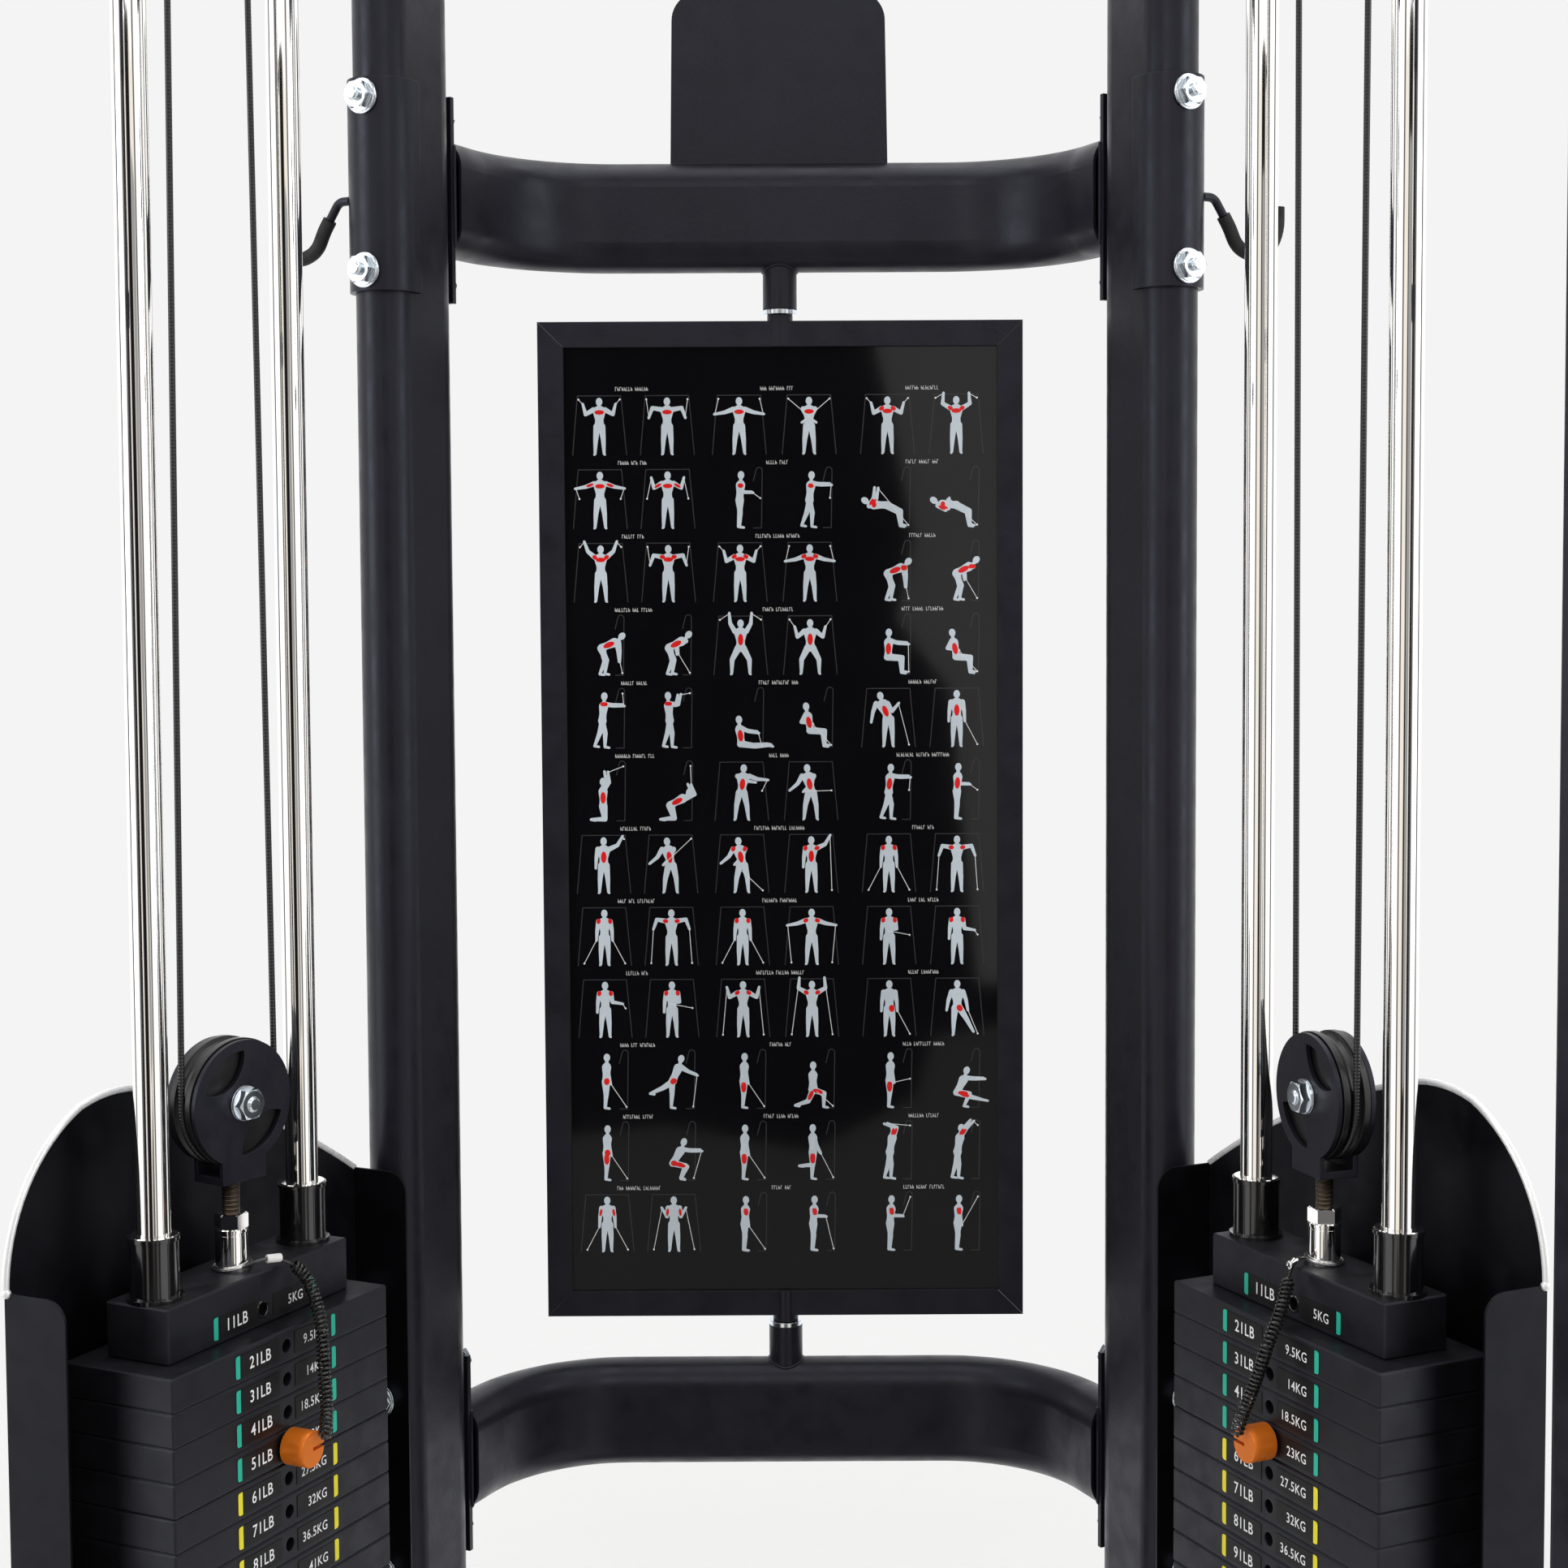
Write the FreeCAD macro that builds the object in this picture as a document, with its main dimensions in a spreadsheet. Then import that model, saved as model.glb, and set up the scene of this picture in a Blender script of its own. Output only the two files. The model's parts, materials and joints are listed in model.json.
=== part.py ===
import FreeCAD, Part
import math
import os
import re
import Sketcher

# Cable crossover machine: two weight stacks in a splayed frame, millimetres, +Z up.
# Each side is drawn in its own plan axes: t runs back along the side, q runs outward
# from the label faces of the plates. The left side is drawn, the right is its mirror image.

V = FreeCAD.Vector
SIZES = {
    # plan of one side
    "side_angle": 64.9, "corner_across": 428.0, "corner_back": -143.6,
    "frame_plane": 93.5, "cable_plane": 52.0, "stack_plane": 50.0,
    # flat-oval frame tube
    "tube_deep": 101.6, "tube_wide": 50.8, "tube_wall": 3.0,
    # heights
    "foot_tall": 20.0, "base_top": 70.8, "machine_top": 2100.0,
    # rear upright and roof arm
    "upright_at": 439.0, "bend_radius": 250.0, "arm_front": -270.0,
    "foot_plate": 8.0, "foot_plate_long": 150.0, "foot_plate_wide": 70.0,
    # base
    "rail_plane": 85.5, "rail_front": -400.0, "rail_back": 640.0, "beam_half": 280.0, "beam_back": 395.0,
    # crossbars
    "bar_back": 468.0, "bar_radius": 150.0, "upper_bar": 1523.0, "lower_bar": 381.0,
    "end_plate_at": 490.0, "end_plate": 5.0, "end_plate_tall": 181.0, "end_plate_wide": 36.0,
    "upper_plates": 1519.0, "lower_plates": 387.0, "panel_foot": 204.0, "panel_head": 200.0,
    "panel_top": 1733.0, "panel_round": 27.0, "panel_thick": 5.0,
    # placard
    "placard_wide": 457.0, "placard_low": 476.0, "placard_high": 1426.0, "placard_edge": 24.0,
    "placard_deep": 20.0, "chart_thick": 13.0, "pivot_gap": 11.0, "socket_radius": 16.0,
    "pivot_radius": 8.0, "pivot_boss": 12.0, "fit": 0.05,
    # saddle and hook
    "saddle_thick": 5.0, "saddle_tall": 180.0,
    "hook_height": 1508.0, "hook_radius": 3.8, "sleeve_radius": 6.0,
    "hook_back": 15.0,
    # stack
    "plate_long": 260.0, "plate_wide": 100.0, "plate_thick": 25.4, "plate_pitch": 25.6, "plate_edge": 1.2,
    "stack_top": 614.0, "rod_near": 42.0, "rod_far": 218.0, "rod_radius": 12.7, "rod_hole": 13.5,
    "stem_at": 130.0, "stem_radius": 11.0, "stem_hole": 12.0, "pin_hole": 5.2,
    "head_inset": 22.0, "head_thick": 41.6, "collar_radius": 18.0, "collar_tall": 47.0,
    "boss_radius": 12.4, "boss_tall": 32.0, "stud_radius": 6.0, "nut_radius": 12.2, "nut_tall": 11.0,
    "bumper_radius": 27.0,
    # travelling pulley
    "travel_axis": 785.0, "cheek_radius": 48.0, "cheek_thick": 4.0, "cheek_gap": 24.0, "cheek_tab": 43.0,
    "cheek_drop": 60.0, "slot_turn": -35.0, "slot_round": 28.0, "slot_out": 46.0,
    "travel_pitch": 46.5, "travel_rim": 49.0, "travel_wide": 22.0, "axle_radius": 6.0,
    # selector pin
    "knob_radius": 14.0, "knob_long": 21.0, "knob_clear": 2.0, "pin_radius": 4.7, "pin_reach": 64.0,
    # shroud
    "shroud_near": -36.0, "shroud_far": 382.0, "shroud_plane": 118.0, "sheet": 2.0, "lip_plane": 64.0,
    "shroud_low": 79.0, "lip_high": 672.0, "lip_round": 18.0, "shroud_peak": 796.0,
    # cable and fixed pulleys
    "cable_radius": 2.4, "pitch": 42.0, "rim": 46.0, "wheel_wide": 16.0, "groove": 6.0, "foot_pitch": 49.0,
    "low_axis": 1892.0, "high_axis": 1942.0, "foot_axis": 148.0, "run_front": -224.0, "run_back": -126.0,
    "near_leg": 90.0, "far_leg": 176.0,
    # pulley housings
    "house_in": 27.0, "house_out": 77.0, "house_wall": 5.0, "house_low": 1815.0, "house_high": 1990.0,
    "house_front": -240.0, "house_back": 260.0, "shelf_front": 10.0, "shelf_thick": 8.0,
    # front column and its holes
    "column_front": -200.0, "column_back": -140.0, "column_wall": 3.0, "column_low": 220.0,
    "column_high": 1885.0, "hole_pitch": 60.0, "hole_radius": 5.4,
    # carriage
    "carriage": 1650.0, "sleeve_tall": 150.0, "sleeve_wall": 8.0, "sleeve_fit": 0.1, "lug_reach": 16.0,
    "lug_level": 50.0, "lug_thick": 10.0, "swivel_pitch": 32.0, "swivel_rim": 36.0, "fork_gap": 9.2,
    "fork_plate": 4.0, "fork_front": -302.0, "ball_radius": 14.0,
    # pull pin
    "plunger_radius": 5.0, "pull_travel": 12.0, "pull_knob": 17.0,
    # handle
    "grip_half": 65.0, "grip_radius": 16.0, "grip_drop": 150.0, "strap_half": 12.5, "strap_thick": 3.0,
    # pull-up bar
    "pullup_at": -215.0, "pullup_radius": 21.0, "pullup_plate": 8.0,
}
D = dict(SIZES)
SELECTED = 4
PLATES = 19
FORM = {"left": -9.0, "right": 8.0}

doc = FreeCAD.newDocument("cable_crossover_machine")
sheet = doc.addObject("Spreadsheet::Sheet", "dims")
for row, (alias, value) in enumerate(SIZES.items(), start=1):
    sheet.set(f"A{row}", alias)
    sheet.set(f"B{row}", str(value))
    sheet.setAlias(f"B{row}", alias)
doc.recompute()

SIDE = FreeCAD.Placement(
    V(-D["corner_across"], D["corner_back"], 0), FreeCAD.Rotation(V(0, 0, 1), D["side_angle"]))
ALONG = {
    "t": FreeCAD.Rotation(V(0, 1, 0), 90),
    "q": FreeCAD.Rotation(V(1, 0, 0), -90),
    "z": FreeCAD.Rotation(),
}
SKETCH_PLANES = {
    "tq": FreeCAD.Rotation(),
    "tz": FreeCAD.Rotation(V(1, 0, 0), 90),
    "qz": FreeCAD.Rotation(V(1, 1, 1), 120),
}
nodes = {}


# ---------------------------------------------------------------- helpers

def cells(text):
    """An expression in which each size's name refers to its cell."""
    def cell(word):
        return "dims." + word.group() if word.group() in SIZES else word.group()
    return re.sub(r"[a-z_]+", cell, str(text))


def feature(kind, at=(0, 0, 0), turn=None, **sizes):
    """A Part primitive or operation whose sizes and place follow the sheet."""
    piece = doc.addObject("Part::" + kind, kind.lower())
    for name, text in sizes.items():
        piece.setExpression(name, cells(text))
    piece.Placement = FreeCAD.Placement(V(), turn or FreeCAD.Rotation())
    for letter, text in zip("xyz", at):
        piece.setExpression("Placement.Base." + letter, cells(text))
    return piece


def block(t, q, z):
    """A box between pairs of planes."""
    spans = [f"({high}) - ({low})" for low, high in (t, q, z)]
    return feature("Box", (t[0], q[0], z[0]), Length=spans[0], Width=spans[1], Height=spans[2])


def rod(radius, along, start, length):
    return feature("Cylinder", start, ALONG[along], Radius=radius, Height=length)


def hexagon(radius, along, start, length):
    piece = feature("Prism", start, ALONG[along], Circumradius=radius, Height=length)
    piece.Polygon = 6
    return piece


def cut(base, *tools):
    piece = doc.addObject("Part::Cut", "cut")
    piece.Base = base
    piece.Tool = tools[0] if len(tools) == 1 else fuse(*tools)
    return piece


def fuse(*shapes):
    piece = doc.addObject("Part::MultiFuse", "fuse")
    piece.Shapes = list(shapes)
    piece.Refine = True
    return piece


def group(*shapes):
    """Separate solids kept together."""
    piece = doc.addObject("Part::Compound", "group")
    piece.Links = list(shapes)
    return piece


def shape(solid):
    """A form that no primitive fits, made from the same sizes."""
    piece = doc.addObject("Part::Feature", "form")
    piece.Shape = solid
    return piece


def mirror(source):
    piece = doc.addObject("Part::Mirroring", "mirror")
    piece.Source = source
    piece.Normal = V(1, 0, 0)
    return piece


def sketch(plane, at, curves):
    drawing = doc.addObject("Sketcher::SketchObject", "outline")
    drawing.addGeometry(curves, False)
    drawing.Placement = FreeCAD.Placement(V(*at), SKETCH_PLANES[plane])
    return drawing


def outline(*steps):
    """Closed run of lines (an end) and arcs (a middle and an end), from the last end round to itself."""
    start = V(*steps[-1][-1], 0)
    curves = []
    for step in steps:
        end = V(*step[-1], 0)
        if len(step) == 2:
            curves.append(Part.Arc(start, V(*step[0], 0), end))
        else:
            curves.append(Part.LineSegment(start, end))
        start = end
    return curves


def round_rectangle(centre, wide, tall, radius):
    """Rectangle with round corners, as lines and arcs."""
    inner = radius * (1 - math.sqrt(0.5))
    steps = []
    for sx, sy, first in ((1, 1, True), (-1, 1, False), (-1, -1, True), (1, -1, False)):
        corner = (centre[0] + sx * wide / 2, centre[1] + sy * tall / 2)
        beside = (corner[0], corner[1] - sy * radius)
        above = (corner[0] - sx * radius, corner[1])
        middle = (corner[0] - sx * inner, corner[1] - sy * inner)
        start, end = (beside, above) if first else (above, beside)
        steps.append((start,))
        steps.append((middle, end))
    return outline(*steps)


def extrude(drawing, direction, length):
    piece = doc.addObject("Part::Extrusion", "extrusion")
    piece.Base = drawing
    piece.DirMode = "Custom"
    piece.Dir = direction
    piece.Solid = True
    piece.FaceMakerClass = "Part::FaceMakerBullseye"
    piece.setExpression("LengthFwd", cells(length))
    return piece


def revolve(drawing, axis, centre, angle):
    piece = doc.addObject("Part::Revolution", "bend")
    piece.Source = drawing
    piece.Axis = axis
    piece.Base = centre
    piece.Solid = True
    piece.FaceMakerClass = "Part::FaceMakerBullseye"
    piece.setExpression("Angle", cells(angle))
    return piece


def tube_section(turn, at):
    """Flat-oval tube section: outer and inner slots tied to the tube's depth, width and wall."""
    drawing = doc.addObject("Sketcher::SketchObject", "tube_section")
    half = (D["tube_deep"] - D["tube_wide"]) / 2
    for inset, text in ((0, "tube_wide / 2"), (D["tube_wall"], "tube_wide / 2 - tube_wall")):
        radius = D["tube_wide"] / 2 - inset
        first = drawing.GeometryCount
        ends = [Part.ArcOfCircle(Part.Circle(V(x, 0, 0), V(0, 0, 1), radius), low, low + math.pi)
                for x, low in ((half, -math.pi / 2), (-half, math.pi / 2))]
        flats = [Part.LineSegment(V(x, y, 0), V(-x, y, 0)) for x, y in ((half, radius), (-half, -radius))]
        drawing.addGeometry([ends[0], flats[0], ends[1], flats[1]], False)
        for step in range(4):
            drawing.addConstraint(Sketcher.Constraint("Tangent", first + step, 2, first + (step + 1) % 4, 1))
        drawing.addConstraint(Sketcher.Constraint("Equal", first, first + 2))
        drawing.addConstraint(Sketcher.Constraint("Symmetric", first, 3, first + 2, 3, -1, 1))
        drawing.addConstraint(Sketcher.Constraint("PointOnObject", first, 3, -1))
        tie = drawing.addConstraint(Sketcher.Constraint("Radius", first, radius))
        drawing.setExpression(f"Constraints[{tie}]", cells(text))
        tie = drawing.addConstraint(Sketcher.Constraint("DistanceX", -1, 1, first, 3, half))
        drawing.setExpression(f"Constraints[{tie}]", cells("(tube_deep - tube_wide) / 2"))
    drawing.Placement = FreeCAD.Placement(V(*at), turn)
    return drawing


def bent_wire(points):
    """Straight runs joined by tangent arcs as large as the runs allow."""
    points = [V(*p) for p in points]
    edges = []
    start = points[0]
    for before, corner, after in zip(points, points[1:], points[2:]):
        arriving = (corner - before).normalize()
        leaving = (after - corner).normalize()
        turn = arriving.getAngle(leaving)
        trim = 0.45 * min(corner.distanceToPoint(before), corner.distanceToPoint(after))
        radius = trim / math.tan(turn / 2)
        first = corner - arriving * trim
        last = corner + leaving * trim
        inward = (leaving - arriving).normalize()
        middle = corner + inward * (radius / math.cos(turn / 2) - radius)
        edges.append(Part.LineSegment(start, first).toShape())
        edges.append(Part.Arc(first, middle, last).toShape())
        start = last
    edges.append(Part.LineSegment(start, points[-1]).toShape())
    return Part.Wire(edges)


def tube_along(wire, radius):
    """Round solid along a wire."""
    first = wire.OrderedEdges[0]
    start = first.valueAt(first.FirstParameter)
    ring = Part.Wire(Part.makeCircle(radius, start, first.tangentAt(first.FirstParameter)))
    solid = wire.makePipeShell([ring], True, False)
    expected = math.pi * radius ** 2 * wire.Length
    if abs(solid.Volume - expected) > 0.02 * expected:
        raise RuntimeError(f"tube volume {solid.Volume:.0f}, section times length {expected:.0f}")
    return solid


def on_side(piece, at=(0, 0, 0), turn=0.0):
    """Stand a piece on the left side's plan axes, leaving a primitive's own bound place alone."""
    if piece.TypeId in ("Part::Box", "Part::Cylinder"):
        piece = group(piece)
    piece.Placement = SIDE.multiply(FreeCAD.Placement(V(*at), FreeCAD.Rotation(V(0, 0, 1), turn)))
    return piece


def node(label, piece):
    piece.Label = label
    nodes[label] = piece
    return piece


def both_sides(label, build, *right_differs):
    """A node on each side: the right one is the mirror image, unless it is built with its own form."""
    left = build("left")
    node(label + "_left", left)
    node(label + "_right", mirror(build("right") if right_differs else left))


def joined(label, piece):
    """One node with the piece on the left side and its mirror image."""
    node(label, group(piece, mirror(piece)))


# ---------------------------------------------------------------- frame

def rear_upright():
    """Upright on its foot plate, bent forward at the top into the roof arm."""
    low = D["base_top"] + D["foot_plate"]
    arm_level = D["machine_top"] - D["tube_deep"] / 2
    bend_start = arm_level - D["bend_radius"]
    arm_start = D["upright_at"] - D["bend_radius"]
    plan = FreeCAD.Rotation()
    on_end = FreeCAD.Rotation(V(0, 1, 0), -90)
    foot = tube_section(plan, (D["upright_at"], D["frame_plane"], low))
    top = tube_section(plan, (D["upright_at"], D["frame_plane"], bend_start))
    roof = tube_section(on_end, (arm_start, D["frame_plane"], arm_level))
    length = "machine_top - tube_deep / 2 - bend_radius - base_top - foot_plate"
    tube = fuse(
        extrude(foot, V(0, 0, 1), length),
        revolve(top, V(0, -1, 0), V(arm_start, D["frame_plane"], bend_start), 90),
        extrude(roof, V(-1, 0, 0), "upright_at - bend_radius - arm_front"),
        block(("upright_at - foot_plate_long / 2", "upright_at + foot_plate_long / 2"),
              ("frame_plane - foot_plate_wide / 2", "frame_plane + foot_plate_wide / 2"),
              ("base_top", "base_top + foot_plate")),
        block(("arm_front - 4", "arm_front"), ("frame_plane - 20", "frame_plane + 20"),
              ("machine_top - tube_deep + 12", "machine_top - 12")))
    holes = [rod("axle_radius + fit", "t", ("upright_at - tube_deep", "frame_plane", level), "tube_deep * 2")
             for level in bolt_levels()]
    return on_side(cut(tube, *holes))


def bolt_levels():
    return ["upper_plates + 73", "upper_plates - 73", "lower_plates + 82", "lower_plates - 72"]


def crossbar(level, plates, bolts, extras, bores):
    """Bent crossbar: straight middle, a bend and a stub each side, and the plates bolted to the uprights."""
    back = D["bar_back"]
    radius = D["bar_radius"]
    angle = math.radians(D["side_angle"])
    plate_face = SIDE.multVec(V(D["end_plate_at"] + D["end_plate"], D["frame_plane"], 0))
    inward = V(math.cos(angle), math.sin(angle), 0)
    stub = (back - radius * (1 - math.cos(angle)) - plate_face.y) / math.sin(angle)
    bend_end = plate_face + inward * stub
    straight = abs(bend_end.x) - radius * math.sin(angle)
    upright_turn = FreeCAD.Rotation(V(0, 1, 0), -90)
    side_turn = FreeCAD.Rotation(V(0, 0, 1), D["side_angle"]).multiply(upright_turn)
    middle = tube_section(upright_turn, (0, back, D[level]))
    bend = tube_section(upright_turn, (-straight, back, D[level]))
    end = tube_section(side_turn, (bend_end.x, bend_end.y, D[level]))
    half = extrude(middle, V(-1, 0, 0), straight)
    curve = revolve(bend, V(0, 0, 1), V(-straight, back - radius, 0), "side_angle")
    short = extrude(end, inward * -1, stub)
    plate = block(("end_plate_at", "end_plate_at + end_plate"),
                  ("frame_plane - end_plate_wide / 2", "frame_plane + end_plate_wide / 2"),
                  (plates + " - end_plate_tall / 2", plates + " + end_plate_tall / 2"))
    holes = [rod("axle_radius + fit", "t", ("end_plate_at - 1", "frame_plane", bolt), "end_plate + 2")
             for bolt in bolts]
    arm = fuse(half, curve, short, on_side(cut(plate, *holes)))
    return cut(fuse(arm, mirror(arm), *extras), *bores)


def upper_crossbar():
    top = D["upper_bar"] + D["tube_deep"] / 2
    foot, head, high, corner = D["panel_foot"] / 2, D["panel_head"] / 2, D["panel_top"], D["panel_round"]
    inner = corner * (1 - math.sqrt(0.5))
    panel = extrude(
        sketch("tz", (0, D["bar_back"] + D["panel_thick"] / 2, 0), outline(
            ((foot, top - 1),), ((head, high - corner),),
            ((head - inner, high - inner), (head - corner, high)),
            ((corner - head, high),),
            ((inner - head, high - inner), (-head, high - corner)),
            ((-foot, top - 1),))),
        V(0, -1, 0), "panel_thick")
    low = "placard_high + pivot_gap"
    socket = rod("socket_radius", "z", (0, "bar_back", low), f"upper_bar - tube_deep / 2 + 4 - ({low})")
    bore = rod("pivot_radius + fit", "z", (0, "bar_back", f"{low} - 1"), 33)
    levels = ["upper_plates + 73", "upper_plates - 73"]
    return node("upper_crossbar", crossbar("upper_bar", "upper_plates", levels, [panel, socket], [bore]))


def lower_crossbar():
    start = "lower_bar + tube_deep / 2 - 4"
    socket = rod("socket_radius", "z", (0, "bar_back", start), f"placard_low - pivot_gap - ({start})")
    bore = rod("pivot_radius + fit", "z", (0, "bar_back", "placard_low - pivot_gap - 30"), 31)
    levels = ["lower_plates + 82", "lower_plates - 72"]
    return node("lower_crossbar", crossbar("lower_bar", "lower_plates", levels, [socket], [bore]))


def saddle():
    """Half shell round the upright's near edge, level with the upper crossbar, with its hook."""
    low = "upper_plates - saddle_tall / 2"
    near = "upright_at - (tube_deep - tube_wide) / 2"
    outer = rod("tube_wide / 2 + saddle_thick", "z", (near, "frame_plane", low), "saddle_tall")
    legs = block((near, f"{near} + 10"),
                 ("frame_plane - tube_wide / 2 - saddle_thick", "frame_plane + tube_wide / 2 + saddle_thick"),
                 (low, "upper_plates + saddle_tall / 2"))
    inner = rod("tube_wide / 2 + fit", "z", (near, "frame_plane", f"{low} - 1"), "saddle_tall + 2")
    beyond = block((near, f"{near} + 60"),
                   ("frame_plane - tube_wide / 2 - fit", "frame_plane + tube_wide / 2 + fit"),
                   (f"{low} - 1", "upper_plates + saddle_tall / 2 + 1"))
    past = block((f"{near} + 10", f"{near} + 60"), ("frame_plane - 50", "frame_plane + 50"),
                 (f"{low} - 1", "upper_plates + saddle_tall / 2 + 1"))
    holes = [rod("axle_radius + fit", "t", ("upright_at - tube_deep", "frame_plane", level), "tube_deep")
             for level in bolt_levels()[:2]]
    shell = cut(fuse(outer, legs), inner, beyond, past, *holes)
    stalk = shape(tube_along(bent_wire(hook_route()[:3]), D["hook_radius"]))
    return on_side(fuse(shell, stalk))


def hook_route():
    """The hook leaves the saddle outward, drops, and turns up into its tip."""
    t = D["upright_at"] - (D["tube_deep"] - D["tube_wide"]) / 2 - D["hook_back"]
    level = D["hook_height"]
    shell = D["tube_wide"] / 2 + D["saddle_thick"]
    face = D["frame_plane"] + math.sqrt(shell ** 2 - D["hook_back"] ** 2)
    return [(t, face - 1.5, level), (t, face + 10, level), (t, face + 20, level - 15),
            (t, face + 26, level - 24), (t, face + 34, level - 41), (t, face + 52, level - 48),
            (t, face + 69, level - 41), (t, face + 77, level - 24), (t, face + 77, level - 4)]


def hook_sleeve():
    """Rubber sleeve that covers the hook from its drop to its tip."""
    return on_side(shape(tube_along(bent_wire(hook_route()[2:]), D["sleeve_radius"])))


def base_frame():
    """Two splayed floor rails and the beam that ties their backs together."""
    flat = FreeCAD.Rotation(V(1, 1, 1), 120)
    rail = on_side(extrude(
        tube_section(flat, (D["rail_front"], D["rail_plane"], D["base_top"] - D["tube_wide"] / 2)),
        V(1, 0, 0), "rail_back - rail_front"))
    beam = extrude(
        tube_section(flat, (-D["beam_half"], D["beam_back"], D["base_top"] - D["tube_wide"] / 2)),
        V(1, 0, 0), "beam_half * 2")
    face = "rail_plane - tube_deep / 2"
    middle = (D["beam_back"] - D["corner_back"]) / math.sin(math.radians(D["side_angle"]))
    beyond = on_side(block((0, 900), (f"{face} - 7", f"{face} + 300"), (0, 100)))
    plate = on_side(block((middle - 70, middle + 50), (f"{face} - foot_plate", face),
                          ("foot_tall + 2", "base_top - 2")))
    beam = fuse(cut(beam, beyond, mirror(beyond)), plate, mirror(plate))
    node("base_frame", group(rail, mirror(rail), beam))


def foot_pads():
    pads = [rod(30, "z", (t, "rail_plane", 0), "foot_tall") for t in (-355, 90, 590)]
    joined("foot_pads", on_side(group(*pads)))


def pullup_bar():
    """Round bar between the roof arms, with the plates that bolt to their inner faces."""
    level = D["machine_top"] - D["tube_deep"] / 2
    face = D["frame_plane"] - D["tube_wide"] / 2
    end = SIDE.multVec(V(D["pullup_at"], face, level))
    bar = shape(Part.makeCylinder(D["pullup_radius"], -2 * end.x, V(end.x, end.y, level), V(1, 0, 0)))
    beyond = on_side(block(("pullup_at - 120", "pullup_at + 120"),
                           (face - D["pullup_plate"] + 1, face + 160),
                           (level - 100, level + 100)))
    plate = on_side(block(("pullup_at - 35", "pullup_at + 35"), (face - D["pullup_plate"], face),
                          (level - 40, level + 40)))
    node("pullup_bar", fuse(cut(bar, beyond, mirror(beyond)), plate, mirror(plate)))


# ---------------------------------------------------------------- pulleys and housings

def wheel(pitch, rim, wide, bore):
    """Grooved cable pulley with its axis along q."""
    disc = rod(rim, "q", (0, f"-({wide}) / 2", 0), wide)
    groove = feature("Torus", turn=ALONG["q"], Radius2="groove",
                     Radius1=f"{pitch} - cable_radius - 2 * fit + groove")
    hole = rod(bore, "q", (0, f"-({wide})", 0), f"({wide}) * 2")
    return cut(disc, groove, hole)


FIXED_WHEELS = {
    "roof_wheel_near": (D["near_leg"] - D["pitch"], D["low_axis"]),
    "roof_wheel_far": (D["far_leg"] - D["pitch"], D["high_axis"]),
    "column_wheel_rear": (D["run_back"] + D["pitch"], D["low_axis"]),
    "column_wheel_front": (D["run_front"] + D["pitch"], D["high_axis"]),
}


def fixed_wheels():
    for name, (t, z) in FIXED_WHEELS.items():
        def build(_, t=t, z=z):
            return on_side(wheel("pitch", "rim", "wheel_wide", "axle_radius + fit"), (t, D["cable_plane"], z))
        both_sides(name, build)
    both_sides("foot_wheel", lambda _: on_side(
        wheel("foot_pitch", "foot_pitch + 4", "wheel_wide", "axle_radius + fit"),
        (D["run_back"] - D["foot_pitch"], D["cable_plane"], D["foot_axis"])))


def pulley_housings():
    """Top channel with the roof pulleys, guide-rod shelf and tabs, and the foot channel under the column."""
    inner, outer, wall = "house_in", "house_out", "house_wall"
    span = ("house_front", "house_back")
    cheeks = [block(span, q, ("house_low", "house_high"))
              for q in ((f"{inner} - {wall}", inner), (outer, f"{outer} + {wall}"))]
    roof = block(span, (f"{inner} - {wall}", f"{outer} + {wall}"), ("house_high", "house_high + 6"))
    shelf = block(("shelf_front", "house_back"), (inner, outer), ("house_low", "house_low + shelf_thick"))
    tabs = [block((t, t + 80), ("frame_plane - tube_wide / 2 - 6", "frame_plane - tube_wide / 2"),
                  ("house_high + 5", "machine_top - 30")) for t in (-160, 20)]
    axles = [rod("axle_radius + fit", "q", (t, 0, z), 100) for t, z in FIXED_WHEELS.values()]
    rods = [rod("rod_radius + fit", "z", (t, "stack_plane", "house_low - 1"), 20)
            for t in ("rod_near", "rod_far")]
    slots = [rod(9, "z", (t, "cable_plane", "house_low - 1"), 20) for t in ("near_leg", "far_leg")]
    under_bend = block(("house_back - 55", "house_back + 1"), (0, 100), ("house_high - 15", "house_high + 7"))
    top = cut(fuse(*cheeks, roof, shelf, *tabs), *axles, *rods, *slots, under_bend)
    foot_span = ("run_front - 12", "run_back + 12")
    low = "base_top + foot_plate"
    foot_cheeks = [block(foot_span, q, (low, "column_low + 45"))
                   for q in ((f"{inner} - {wall}", inner), (outer, f"{outer} + {wall}"))]
    sole = block(("run_front - 20", "run_back + 20"), (f"{inner} - {wall}", "house_out + 28"),
                 ("base_top", low))
    axle = rod("axle_radius + fit", "q", ("run_back - foot_pitch", 0, "foot_axis"), 100)
    joined("pulley_housings", on_side(group(top, cut(fuse(*foot_cheeks, sole), axle))))


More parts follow.
